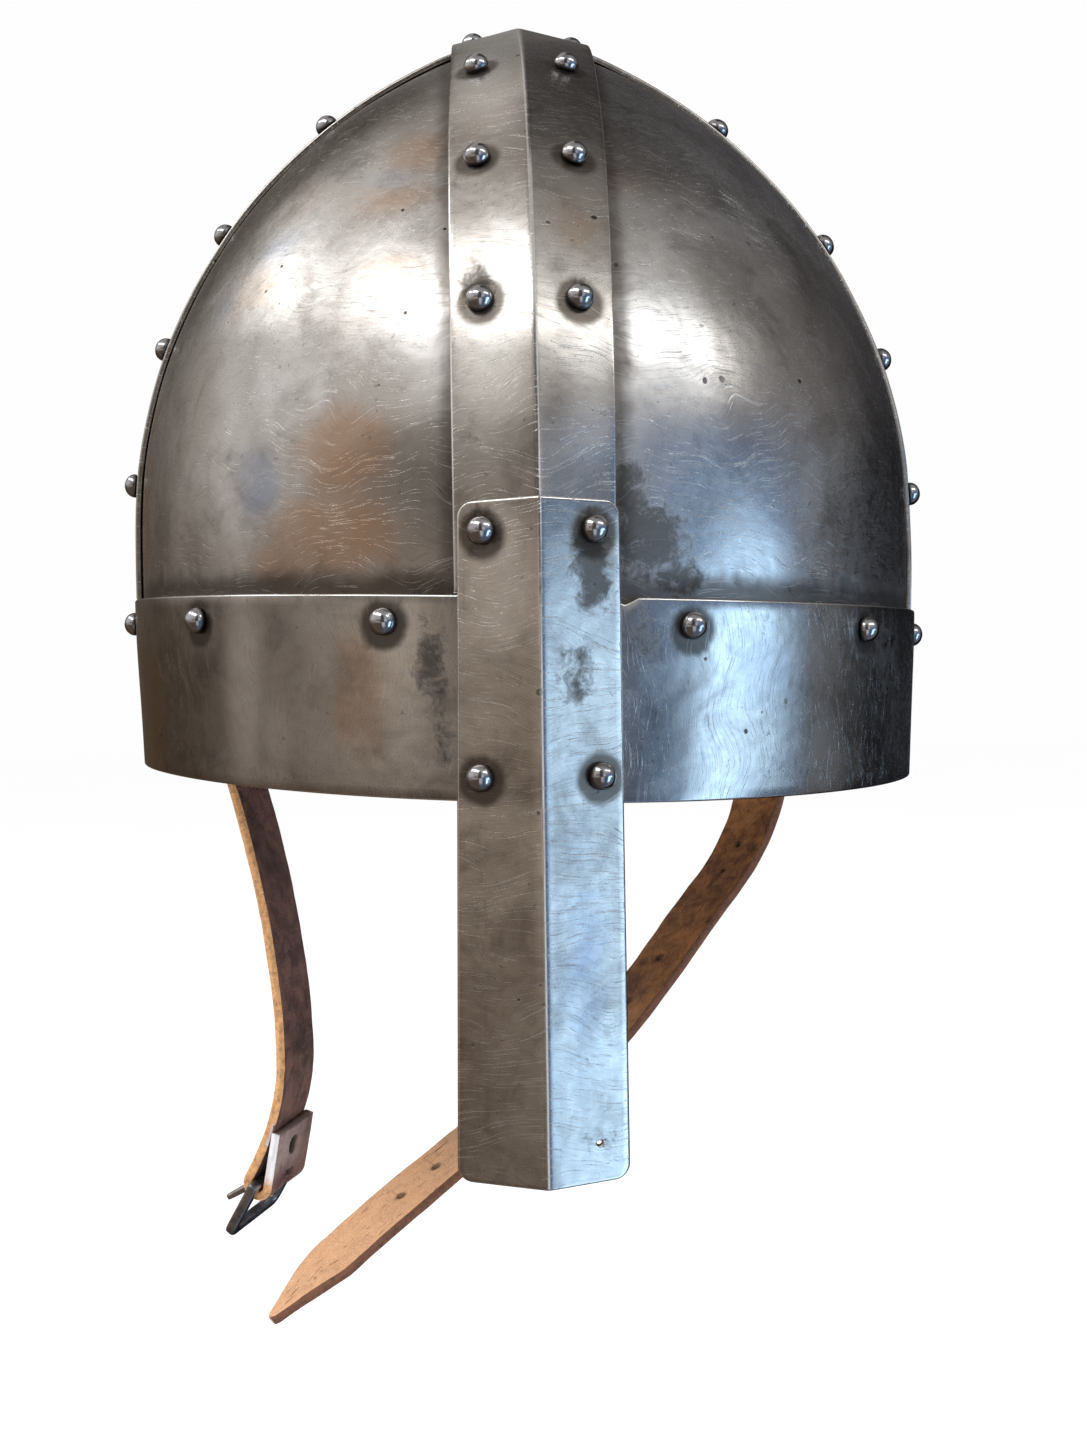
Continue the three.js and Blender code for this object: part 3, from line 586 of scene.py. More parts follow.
def smooth_metal(name, base, dark, roughness):
    """Small metal pieces: bright, with fine marks, dirt, and painted shadow darkening each rivet head's foot."""
    material, g, shader, place, _ = new_material(name)
    patchy = g.noise(place, 260, 5, 0.6, 0.5)
    grit = g.noise(place, 1500, 4, 0.65)
    lines = g.noise(g.scaled(g.bent(place, 160, 0.004), (1800, 160, 900), 0.6), 1, 3, 0.6)
    grime_and_painted_shadow = (g.mask("grime_and_painted_shadow") * 1.2 + patchy.swing(1.1)).step(0.25, 0.95)
    colour = g.layered(
        base,
        (dark, patchy.step(0.5, 0.75) * 0.45),
        (dark, grime_and_painted_shadow * 0.8),
        (rgb(0.03, 0.025, 0.02), grit.step(0.66, 0.74) * 0.5),
        (rgb(0.8, 0.8, 0.8), g.mask("edge") * 0.35),
    )
    rough = roughness + patchy.swing(0.18) + grit.swing(0.14) + grime_and_painted_shadow * 0.25
    height = grit * 0.4 + (lines * 0.3 + patchy * 0.8)
    bump = g.get("Bump", Height=height, Distance=0.00008, Strength=0.45)
    g.fill(shader, Base_Color=colour, Roughness=rough | 0.06, Metallic=1.0, Normal=bump)
    return material


def leather_material(name, face, deep, pale, edge_colour, edge_dark, shine):
    """Vegetable-tanned leather: grain, pores, creases, dark scuffs, fibrous cut edges, with painted light, painted
    shade and a painted highlight on a cut edge from its masks.
    """
    material, g, shader, place, flat = new_material(name)
    bent = g.bent(flat, 220, 0.0016)
    broad = g.noise(flat, 42, 4, 0.6, 0.6)
    mottle = g.noise(place, 230, 7, 0.68, 0.5)
    fine = g.noise(place, 1700, 5, 0.65)
    grain = g.get("TexVoronoi", "Distance", {"feature": "DISTANCE_TO_EDGE"}, Vector=bent, Scale=1250.0).step(0.0, 0.22)
    pores = g.get("TexVoronoi", "Distance", Vector=bent, Scale=1900.0).step(0.34, 0.16)
    scuff = 0.0
    for turn, low in ((0.45, 0.66), (-0.5, 0.67), (1.35, 0.675)):
        dashes = g.scaled(g.bent(flat, 60, 0.006), (140, 900, 1), turn, (2 * turn, turn, 0))
        scuff = g.noise(dashes, 1, 2, 0.45).step(low, low + 0.05) | scuff
    crease = g.noise(g.scaled(g.bent(flat, 90, 0.004), (620, 70, 1)), 1, 3, 0.6).step(0.60, 0.72)
    fibres = g.noise(g.scaled(place, (620, 620, 620)), 1, 6, 0.75)
    side = g.mask("edge")
    cut_edge = g.layered(
        edge_colour,
        (edge_dark, fibres.step(0.42, 0.70) * 0.7),
        # painted highlight: silver-white on the flap's brightly lit cut edge
        (rgb(0.72, 0.74, 0.80), g.mask("painted_edge_highlight") * 0.85),
    )
    colour = g.layered(
        face,
        (deep, (mottle * 0.6 + broad * 0.5).step(0.44, 0.72)),
        # painted light: the pale colour where light falls on the leather
        (pale, g.mask("light") * mottle.span(0.3, 0.7, 0.95, 0.65)),
        # painted shade: darker towards the strap's top under the helmet's rim, and in a thin line along each edge of
        # the face
        (deep, (g.mask("painted_shade") + mottle.swing(1.4)).step(0.3, 0.9) * 0.75),
        (deep, scuff * 0.75),
        (deep, crease * 0.3),
        (deep, pores * 0.35),
        (deep, (1.0 - grain) * 0.16),
        (rgb(0.03, 0.018, 0.012), g.mask("worn") * 0.85),
        (cut_edge, (side + mottle.swing(0.25)).step(0.5, 0.72)),
    )
    rough = shine + fine.swing(0.2) + mottle.swing(0.16) + side * 0.15
    height = (grain * 0.7 + fine * 0.5 + mottle * 0.9 + scuff * -0.9 + crease * -0.6 + pores * -0.5
              + fibres * side * 1.6)
    bump = g.get("Bump", Height=height, Distance=0.00016, Strength=0.55)
    g.fill(shader, Base_Color=colour, Roughness=g.math("MINIMUM", rough, 0.97), Specular_IOR_Level=0.42,
           Sheen_Weight=0.06, Normal=bump)
    return material


plate_steel = steel_material("plate_steel", rgb(0.36, 0.335, 0.31), rgb(0.60, 0.58, 0.56), rgb(0.10, 0.082, 0.068),
                             0.27, 0.5, (0, 0, 0))
band_steel = steel_material("band_steel", rgb(0.38, 0.345, 0.31), rgb(0.52, 0.49, 0.45), rgb(0.10, 0.082, 0.066),
                            0.27, 0.9, (0.31, 0.12, 0.05))
brow_steel = steel_material("brow_steel", rgb(0.33, 0.305, 0.28), rgb(0.52, 0.50, 0.47), rgb(0.08, 0.068, 0.058),
                            0.24, 0.9, (0.11, 0.52, 0.25))
rivet_steel = smooth_metal("rivet_steel", rgb(0.42, 0.42, 0.44), rgb(0.10, 0.092, 0.088), 0.12)
buckle_steel = smooth_metal("buckle_steel", rgb(0.50, 0.50, 0.52), rgb(0.09, 0.085, 0.08), 0.27)
# brown_leather's pale colour is painted grey sheen for the buckle's flap; tan_leather's pale colour is painted light
# for the tail
brown_leather = leather_material("brown_leather", rgb(0.20, 0.092, 0.070), rgb(0.052, 0.023, 0.018),
                                 rgb(0.36, 0.27, 0.25), rgb(0.66, 0.35, 0.15), rgb(0.20, 0.09, 0.04), 0.5)
tan_leather = leather_material("tan_leather", rgb(0.50, 0.20, 0.058), rgb(0.125, 0.044, 0.014),
                               rgb(0.76, 0.43, 0.235), rgb(0.17, 0.070, 0.038), rgb(0.05, 0.022, 0.014), 0.6)


# Infill plates

dents = waves(11, 22, 90)
small_dents = waves(12, 9, 24)


def border(along, across):
    rows = np.minimum(along, along[-1] - along)[:, None]
    columns = np.minimum(across, across[-1] - across)[None, :]
    return np.minimum(rows, columns)


def plate_piece(side_x, side_y):
    reach = RIDGE_LEFT if side_x < 0 else RIDGE_RIGHT_FOOT
    edge_x = reach - PLATE_TUCK
    edge_y = CROSS_HALF - PLATE_TUCK
    tip = 1.35 * math.hypot(edge_x / HALF_WIDTH, edge_y / HALF_LENGTH)
    z, length = even_heights(PLATE_FOOT, dome_top(tip), np.linspace(0, 1, 90))
    width = 0.5 * math.pi * HALF_WIDTH
    share = np.linspace(0, 1, 72)
    start = np.arcsin(edge_x / (HALF_WIDTH * dome_reach(z)))[:, None]
    end = np.arccos(edge_y / (HALF_LENGTH * dome_reach(z)))[:, None]
    angle = start + (end - start) * share[None, :]
    azimuth = side_x * angle if side_y < 0 else side_x * (math.pi - angle)
    points = dome_point(azimuth, z[:, None])
    normals = dome_normal(points)
    flat = points.reshape(-1, 3)
    dent = (0.16 * dents(flat) + 0.03 * small_dents(flat)).reshape(points.shape[:2])
    dent = np.clip(dent, -0.3, FACET_SLACK)
    outer = points + normals * dent[..., None]
    inner = points - normals * PLATE_THICKNESS
    along = np.linspace(0, length, 90)
    across = share * width
    name = f"plate_{'front' if side_y < 0 else 'back'}_{'left' if side_x < 0 else 'right'}"
    grid, faces, uvs = sheet_mesh(outer, inner, along, across)
    masks = {"stain": plate_stain, "copper_tint_and_reflection": plate_copper_tint_and_reflection, "painted_blue_reflection": plate_painted_blue_reflection, "painted_highlight": plate_painted_highlight,
             "grime_and_painted_shadow": plate_grime_and_painted_shadow, "edge": lambda p: np.zeros(len(p))}
    return add_mesh(name + "_sheet", grid, faces, uvs, masks, plate_steel, "helmet", [name])


plate_stain = spots([
    ((24, -114, 57), (14, 30, 14), 1.0), ((20, -116, 68), (8, 20, 10), 0.9), ((31, -112, 49), (11, 20, 6), 0.9),
    ((75, -80, 48), (14, 14, 4.5), 0.85), ((62, -94, 47), (10, 12, 3.5), 0.6), ((90, -52, 72), (5, 14, 7), 0.5),
    ((-24, -114, 47), (14, 12, 3), 0.55), ((-46, -105, 47), (12, 12, 3), 0.45), ((-92, -50, 90), (6, 8, 8), 0.4),
    ((60, 95, 52), (22, 22, 8), 0.7), ((-35, 110, 70), (16, 20, 14), 0.6), ((-70, 84, 50), (16, 16, 5), 0.7),
    ((99, 30, 60), (6, 18, 10), 0.5), ((-99, 28, 100), (8, 16, 14), 0.5), ((30, 96, 120), (14, 14, 10), 0.4),
])
# Coppery tarnish on the plates, partly painted warm reflection, mostly on the left
plate_copper_tint_and_reflection = spots([
    ((-43, -106, 79), (19, 22, 15), 1.0), ((-46, -105, 60), (26, 24, 13), 1.0), ((-57, -98, 54), (18, 18, 8), 0.9),
    ((-98, -34, 69), (8, 18, 22), 0.85), ((-25, -78, 152), (16, 18, 12), 0.75), ((-55, -65, 143), (18, 20, 10), 0.6),
    ((-35, -85, 139), (22, 18, 7), 0.6), ((-66, -75, 120), (14, 14, 9), 0.5), ((-30, -101, 121), (16, 14, 5), 0.5),
    ((-95, -45, 40), (8, 18, 8), 0.7), ((22, -85, 141), (10, 14, 10), 0.6), ((60, 80, 110), (22, 22, 14), 0.6),
    ((-60, 78, 120), (24, 22, 12), 0.6), ((-30, 108, 90), (20, 20, 9), 0.5), ((75, 60, 100), (14, 20, 18), 0.6),
    ((-97, -30, 92), (9, 18, 16), 0.6),
    ((96, -20, 120), (12, 16, 12), 0.4), ((95, -42, 58), (8, 14, 10), 0.5),
])
# Painted blue reflection on the plates, strongest where they face the blue window
plate_painted_blue_reflection = spots([
    ((-64, -93, 73), (11, 14, 13), 1.0), ((-34, -85, 145), (12, 14, 6), 0.7), ((-60, -72, 132), (14, 12, 7), 0.7),
    ((-75, -64, 118), (9, 9, 8), 0.6), ((-45, 95, 100), (16, 16, 9), 0.6), ((60, 92, 80), (18, 18, 12), 0.6),
    ((46, -105, 60), (22, 20, 14), 0.45),
])


# Painted highlights: pale patches on the plates where they would catch a window
plate_painted_highlight = spots([
    ((-56, -68, 140), (16, 18, 13), 0.6), ((-44, -90, 128), (18, 18, 8), 0.4), ((50, 70, 140), (16, 18, 12), 0.5),
])


def plate_grime_and_painted_shadow(p):
    """Dirt along the bands' edges, with painted shadow on the plate where the bands' raised edges would shade it."""
    azimuth = np.arctan2(p[:, 0] / HALF_WIDTH, -p[:, 1] / HALF_LENGTH)
    over_brow = fall(p[:, 2] - brow_top(azimuth), 0.5, 10)
    beside_ridge = fall(np.abs(np.abs(p[:, 0]) - 17.8), 0.3, 7.5)
    beside_cross = fall(np.abs(np.abs(p[:, 1]) - CROSS_HALF), 0.3, 12)
    near_top = 0.8 * smooth((p[:, 2] - 128) / 50) * beside_ridge
    return np.maximum(np.maximum(0.85 * over_brow, near_top), np.maximum(0.72 * beside_ridge, 0.85 * beside_cross))


for side_x in (-1, 1):
    for side_y in (-1, 1):
        plate_piece(side_x, side_y)


# Bands

def band_masks(distance, pitted, worn=1.0):
    """Masks of a band from each point's distance to its border."""
    edge = fall(distance, 0.05, 0.9)

    # grime and painted shadow around the rivets' feet, and a darker strip just inside the border
    def grime_and_painted_shadow(p):
        return np.maximum(near_rivets(p, 3.4, 8.0), 0.35 * fall(distance, 0.7, 3.0) * (1 - edge))

    return {"edge": edge * worn, "grime_and_painted_shadow": grime_and_painted_shadow, "stain": spots(pitted), "copper_tint_and_reflection": band_copper_tint_and_reflection, "painted_blue_reflection": band_painted_blue_reflection,
            "painted_highlight": band_painted_highlight}


# Coppery tarnish on the bands, partly painted warm reflection
band_copper_tint_and_reflection = spots([
    ((-10, -75, 160), (12, 20, 22), 0.55), ((-95, -48, 20), (9, 24, 26), 0.9), ((-40, -111, 26), (13, 12, 22), 0.65),
    ((-12, -125, 55), (9, 12, 16), 0.6), ((12, -126, 58), (9, 12, 10), 0.7), ((9, -100, 125), (10, 12, 12), 0.5),
    ((-12, -116, 45), (10, 12, 20), 0.5), ((-98, 10, 80), (12, 20, 40), 0.5), ((100, 5, 70), (12, 20, 40), 0.55),
    ((-12, 90, 140), (14, 20, 22), 0.5), ((10, 118, 75), (12, 14, 20), 0.5), ((50, 105, 25), (30, 30, 16), 0.5),
    ((12, -60, 170), (10, 24, 14), 0.5),
])
# Painted blue reflection on the bands and the nasal's right side
band_painted_blue_reflection = spots([
    ((10, -128, -30), (11, 12, 70), 0.7), ((50, -103, 28), (14, 16, 22), 0.6), ((-66, -92, 18), (7, 12, 26), 0.5),
    ((-60, 95, 30), (24, 24, 14), 0.4),
    ((8, -113, 95), (9, 10, 12), 0.35),
])
# Painted highlights: pale patches and streaks on the bands, among them a line down the nasal's crest
band_painted_highlight = spots([
    ((-68, -92, 24), (7, 12, 34), 0.8), ((-60, -97, 12), (5, 10, 16), 0.4),
    ((-5, -60, 172), (9, 50, 20), 0.55), ((-6, -108, 118), (8, 14, 40), 0.5), ((12, -112, 95), (8, 10, 14), 0.5),
    ((0, -128, -20), (2.6, 8, 90), 0.6), ((-6, 60, 172), (9, 50, 20), 0.5),
    ((-9, -60, 169), (11, 44, 30), 1.0), ((-9, -116, 92), (10, 12, 30), 0.9), ((-9, -124, 50), (9, 10, 20), 0.8),
    ((-30, -115, 28), (8, 10, 30), 0.8),
    ((12, -118, 82), (8, 10, 14), 0.7),
])


def cross_piece():
    shares = np.linspace(0, 1, 27)
    rows = []
    across = np.linspace(-CROSS_HALF, CROSS_HALF, 15)
    for side in (-1, 1):
        foot = brow_top(side * math.pi / 2) + GAP
        heights, _ = even_heights(foot, HEIGHT, shares)
        centre = np.stack([side * HALF_WIDTH * dome_reach(heights), 0 * heights, heights], -1)
        normal = dome_normal(centre)
        start = (centre + normal * CROSS_HALF)[:, None, :] + np.array([0, 1, 0]) * across[None, :, None]
        direction = np.broadcast_to(-normal[:, None, :], start.shape)
        hit = drop_to_dome(start, direction)
        rows.append((hit, np.broadcast_to(normal[:, None, :], hit.shape)))
    hits = np.concatenate([rows[0][0], rows[1][0][::-1][1:]])
    normals = np.concatenate([rows[0][1], rows[1][1][::-1][1:]])
    run = run_lengths(hits[:, 7])
    along = places(run[-1], 240, 0.45)
    t = np.interp(along, run, np.arange(len(run)))
    fine = places(2 * CROSS_HALF, 26, 0.45)
    u = fine / (2 * CROSS_HALF) * 14
    base = spline(np.swapaxes(spline(hits, t), 0, 1), u).swapaxes(0, 1)
    out = unit(spline(np.swapaxes(spline(normals, t), 0, 1), u).swapaxes(0, 1))
    wobble = (0.1 * waves(31, 14, 50)(base.reshape(-1, 3))).reshape(base.shape[:2])[..., None]
    base = base + out * (CROSS_BUILD + np.clip(wobble, -0.12, 0.12))
    sway = 0.25 * np.sin(along / 19.0) + 0.15 * np.sin(along / 7.3 + 1)
    base = base + np.array([0, 1, 0]) * (sway[:, None, None] * ((fine / CROSS_HALF - 1) ** 2)[None, :, None])
    outer, inner = thick_sheet(base, out, CROSS_THICKNESS, along, fine, 0.45)
    points, faces, uvs = sheet_mesh(outer, inner, along, fine)
    distance = np.concatenate([border(along, fine).ravel()] * 2)
    masks = band_masks(distance, [((96, -8, 100), (10, 10, 16), 0.5), ((-97, 8, 70), (10, 8, 18), 0.5),
                                  ((60, 6, 150), (20, 12, 12), 0.5), ((-55, -6, 155), (18, 10, 10), 0.45)], 0.35)
    add_mesh("cross_band_sheet", points, faces, uvs, masks, band_steel, "helmet", ["cross_band"])


def ridge_reach(side_x, z):
    if side_x < 0:
        return RIDGE_LEFT + (RIDGE_LEFT_TOP - RIDGE_LEFT) * smooth(4 * (z / HEIGHT) - 3)
    return RIDGE_RIGHT_FOOT + (RIDGE_RIGHT_TOP - RIDGE_RIGHT_FOOT) * smooth(z / HEIGHT)


def ridge_piece():
    halves = []
    for side_y in (-1, 1):
        z, _ = even_heights(BROW_HEIGHT + GAP, HEIGHT, np.linspace(0, 1, 27))
        centre = np.stack([0 * z, side_y * HALF_LENGTH * dome_reach(z), z], -1)
        normal = dome_normal(centre)
        crossing = CROSS_HALF + PLATE_TUCK / 2
        share = smooth((np.abs(centre[:, 1]) - crossing) / RIDGE_STEP)[:, None]
        edge_lift = BAND_SEAT + CROSS_BUILD * (1 - share)
        crest_lift = BAND_SEAT + APEX_CREST + (RIDGE_CREST - APEX_CREST) * share
        edges = []
        for side_x in (-1, 1):
            reach = ridge_reach(side_x, z)[:, None]
            start = centre + normal * RIDGE_LEFT + np.array([side_x, 0, 0]) * reach
            edge = drop_to_dome(start, -normal) + normal * edge_lift
            azimuth = side_x * np.arcsin(reach[:, 0] / HALF_WIDTH)
            sink = brow_top(azimuth) - brow_top(0.0)
            edge[:, 2] += sink * fall(z - BROW_HEIGHT, 0, 12)
            edges.append(edge)
        crest = centre + normal * crest_lift
        slope = np.arctan(((crest - edges[0]) * normal).sum(-1) / RIDGE_LEFT)
        halves.append((np.stack([edges[0], crest, edges[1]], 1), normal, RIDGE_THICKNESS / np.cos(slope)))
    rows = np.concatenate([halves[0][0], halves[1][0][::-1][1:]])
    normals = np.concatenate([halves[0][1], halves[1][1][::-1][1:]])
    thick = np.concatenate([halves[0][2], halves[1][2][::-1][1:]])
    run = run_lengths(rows[:, 1])
    along = places(run[-1], 250, 0.5)
    t = np.interp(along, run, np.arange(len(run)))
    rows, normals, thick = spline(rows, t), unit(spline(normals, t)), spline(thick[:, None], t)
    width = 2 * RIDGE_LEFT
    across = places(width, 36, 0.5)
    middle = np.linspace(-1.6, 1.6, 9) + width / 2
    across = np.sort(np.concatenate([across[np.abs(across - width / 2) > 1.9], middle]))
    s = across / (width / 2) - 1
    bend = np.sqrt(s ** 2 + 0.035 ** 2 * (1 - s ** 2))
    base = np.empty((len(along), len(across), 3))
    for c, (share, lift) in enumerate(zip(s, bend)):
        edge = rows[:, 0] if share < 0 else rows[:, 2]
        away = edge - rows[:, 1]
        level = (away * normals).sum(-1, keepdims=True) * normals
        base[:, c] = rows[:, 1] + (away - level) * abs(share) + level * lift
    out = np.broadcast_to(normals[:, None, :], base.shape)
    lift = thick[:, :, None] * np.ones((1, len(across), 1))
    wobble = (0.1 * waves(41, 12, 40)(base.reshape(-1, 3))).reshape(base.shape[:2])[..., None]
    top = base + out * (lift + np.clip(wobble, -0.14, 0.14))
    outer, _ = thick_sheet(top, out, RIDGE_THICKNESS, along, across, 0.5)
    _, inner = thick_sheet(base + out * RIDGE_THICKNESS, out, RIDGE_THICKNESS, along, across, 0.5)
    points, faces, uvs = sheet_mesh(outer, inner, along, across)
    distance = np.concatenate([border(along, across).ravel()] * 2)
    masks = band_masks(distance, [
        ((-12, -108, 113), (7, 10, 9), 0.85), ((-13, -104, 120), (6, 8, 5), 0.6), ((10, -108, 113), (6, 8, 7), 0.6),
        ((10, -84, 147), (6, 10, 6), 0.55), ((-14, -117, 80), (6, 8, 12), 0.5), ((12, -116, 70), (7, 8, 12), 0.55),
        ((-8, -117, 62), (9, 8, 8), 0.45), ((12, 100, 128), (7, 12, 12), 0.6), ((-12, 116, 80), (8, 10, 14), 0.6),
    ])
    edge = masks["edge"]
    crest = np.concatenate([np.repeat(fall(np.abs(across - width / 2), 0.2, 1.1)[None, :], len(along), 0).ravel()] * 2)
    masks["edge"] = np.maximum(edge, 0.85 * crest)
    add_mesh("ridge_band_sheet", points, faces, uvs, masks, band_steel, "helmet", ["ridge_band"])


def brow_piece():
    columns = 420
    azimuth = np.linspace(0, 2 * math.pi, columns + 1) + math.pi
    height = BROW_HEIGHT
    along = places(height, 22, 0.55)
    share = (along / height)[:, None]
    foot, top = brow_foot(azimuth)[None, :], brow_top(azimuth)[None, :]
    chamfer = 1.6 * fall(np.abs((azimuth % (2 * math.pi)) - 0.178), 0.0, 0.035)[None, :]
    z = foot + (top - chamfer - foot) * share
    points = dome_point(np.broadcast_to(azimuth[None, :], z.shape), z)
    out = level_normal(points)
    wobble = (0.22 * waves(51, 26, 110)(points.reshape(-1, 3))).reshape(z.shape)[..., None]
    base = points + out * (BROW_BUILD + np.clip(wobble, -0.1, 0.3))
    ring = run_lengths(base[10])
    outer, inner = thick_sheet(base, out, BROW_THICKNESS, along, ring, 0.55, ring=True)
    grid, faces, uvs = sheet_mesh(outer[:, :-1], inner[:, :-1], along, ring, ring=True)
    uvs = np.array(uvs)[:, ::-1]
    rows = np.minimum(along, height - along)[:, None] * np.ones((1, columns))
    distance = np.concatenate([rows.ravel()] * 2)
    masks = band_masks(distance, [
        ((-24, -116, 30), (6, 8, 16), 0.75), ((-21, -117, 14), (5, 8, 12), 0.6), ((-89, -56, 14), (18, 18, 9), 0.5),
        ((24, -116, 36), (6, 8, 10), 0.6), ((86, -66, 30), (16, 16, 22), 0.55), ((-60, -96, 6), (26, 16, 4), 0.5),
        ((60, -97, 5), (24, 16, 4), 0.5), ((0, 118, 20), (40, 10, 14), 0.5), ((80, 75, 24), (24, 24, 14), 0.55),
        ((-85, 68, 26), (20, 20, 14), 0.55),
    ])
    add_mesh("brow_band_ring", grid, faces, uvs, masks, brow_steel, "helmet", ["brow_band"])


def nasal_seat(x, z):
    reach = dome_reach(np.maximum(z, 0))
    return -HALF_LENGTH * reach * np.sqrt(1 - (x / (HALF_WIDTH * reach)) ** 2) - BROW_BUILD - GAP


def nasal_piece():
    length = NASAL_TOP + NASAL_DROP
    along = places(length, 150, 0.5)
    corner = np.linspace(0.5, NASAL_CORNER, 10)
    along = np.sort(np.concatenate([along, corner[1:], length - corner[1:]]))
    keep = np.concatenate([[True], np.diff(along) > 0.02])
    along = along[keep]
    z = NASAL_TOP - along
    near = np.minimum(along, length - along)
    from_corner = NASAL_CORNER - np.minimum(near, NASAL_CORNER)
    inset = NASAL_CORNER - np.sqrt(np.clip(NASAL_CORNER ** 2 - from_corner ** 2, 0, None))
    reach = {}
    for side in (-1, 1):
        reach[side] = NASAL_REACH_TOP + (NASAL_REACH_FOOT[side] - NASAL_REACH_TOP) * along / length
    width = 2 * NASAL_REACH_TOP
    across = places(width, 34, 0.5)
    middle = np.linspace(-1.6, 1.6, 11) + width / 2
    across = np.sort(np.concatenate([across[np.abs(across - width / 2) > 1.9], middle]))
    s = across / (width / 2) - 1
    seats = {side: nasal_seat(side * reach[side], z) for side in (-1, 1)}
    ridge = (seats[-1] + seats[1]) / 2 - NASAL_RIDGE
    base = np.empty((len(along), len(across), 3))
    slope = math.atan(NASAL_RIDGE / NASAL_REACH_TOP)
    forward = NASAL_THICKNESS / math.cos(slope)
    peak = NASAL_PEAK * (fall(along, 0, 7) - fall(length - along, 0, 7))
    for c, share in enumerate(s):
        side = -1 if share < 0 else 1
        full = abs(share) * (reach[side] - inset)
        part = full / reach[side]
        lift = np.sqrt(part ** 2 + 0.03 ** 2 * (1 - part ** 2))
        base[:, c, 0] = side * full
        base[:, c, 1] = ridge + (seats[side] - ridge) * lift - forward
        base[:, c, 2] = z + peak * (1 - abs(share))
    wobble = (0.10 * waves(61, 14, 60)(base.reshape(-1, 3))).reshape(base.shape[:2])
    base[..., 1] -= np.clip(wobble, -0.15, 0.15)
    out = np.broadcast_to(np.array([0, -1.0, 0]), base.shape)
    outer, inner = thick_sheet(base, out, forward, along, across, 0.5)
    points, faces, uvs = sheet_mesh(outer, inner, along, across)
    distance = np.minimum(border(along, across), near[:, None])
    distance = np.concatenate([distance.ravel()] * 2)
    masks = band_masks(distance, [
        ((12, -126, 52), (9, 10, 18), 0.95), ((8, -127, 28), (8, 10, 12), 0.7), ((-13, -124, 60), (8, 8, 9), 0.8),
        ((14, -125, -20), (6, 10, 24), 0.35), ((12, -122, -74), (7, 10, 10), 0.4), ((-15, -124, -30), (5, 10, 40), 0.4),
        ((-16, -122, 6), (4, 8, 7), 0.6), ((14, -123, 5), (5, 8, 6), 0.5), ((-10, -124, -70), (9, 8, 10), 0.35),
    ])
    crest = np.concatenate([np.repeat(fall(np.abs(across - width / 2), 0.2, 1.1)[None, :], len(along), 0).ravel()] * 2)
    masks["edge"] = np.maximum(masks["edge"], 0.8 * crest)
    piece = add_mesh("nasal_sheet", points, faces, uvs, masks, band_steel, "helmet", ["nasal"])
    hole_x, rise, hole_width = NASAL_HOLE
    seat = np.array([hole_x, float(nasal_seat(np.array(hole_x), np.array(0.0))), rise - NASAL_DROP])
    cut(piece, [cylinder(seat, np.array([0, 1.0, 0]), hole_width / 2, 30)])


def cylinder(centre, direction, radius, depth, sides=24, stretch=0.0, across=None):
    """Points and faces of a drill, which may be oblong along a direction."""
    direction = unit(np.asarray(direction, float))
    helper = np.array([0, 0, 1.0]) if across is None else unit(across)
    if across is None and abs(direction[2]) > 0.9:
        helper = np.array([1.0, 0, 0])
    u = unit(helper - direction * (helper @ direction))
    v = np.cross(direction, u)
    turn = np.linspace(0, 2 * math.pi, sides, endpoint=False)
    slide = np.where(np.cos(turn) > 0, stretch, -stretch)
    rim = u * (np.cos(turn) * radius + slide)[:, None]
    rim = rim + v * (np.sin(turn) * radius)[:, None]
    points = np.concatenate([centre + rim - direction * depth / 2, centre + rim + direction * depth / 2])
    faces = [[i, (i + 1) % sides, sides + (i + 1) % sides, sides + i] for i in range(sides)]
    faces.append(list(range(sides))[::-1])
    faces.append([sides + i for i in range(sides)])
    return points, faces


def cut(piece, cutters):
    """Cuts holes into a piece."""
    points, faces, start = [], [], 0
    for some_points, some_faces in cutters:
        points.append(some_points)
        faces.extend([start + i for i in f] for f in some_faces)
        start += len(some_points)
    mesh = bpy.data.meshes.new("cutter")
    mesh.from_pydata((np.concatenate(points) * MM).tolist(), [], faces)
    work = bmesh.new()
    work.from_mesh(mesh)
    bmesh.ops.recalc_face_normals(work, faces=work.faces)
    work.to_mesh(mesh)
    work.free()
    tool = bpy.data.objects.new("cutter", mesh)
    bpy.context.scene.collection.objects.link(tool)
    modifier = piece.modifiers.new("holes", "BOOLEAN")
    modifier.operation = "DIFFERENCE"
    modifier.solver = "EXACT"
    modifier.object = tool
    bpy.context.view_layer.update()
    graph = bpy.context.evaluated_depsgraph_get()
    made = bpy.data.meshes.new_from_object(piece.evaluated_get(graph))
    piece.modifiers.clear()
    old = piece.data
    piece.data = made
    bpy.data.meshes.remove(old)
    bpy.data.objects.remove(tool)
    bpy.data.meshes.remove(mesh)


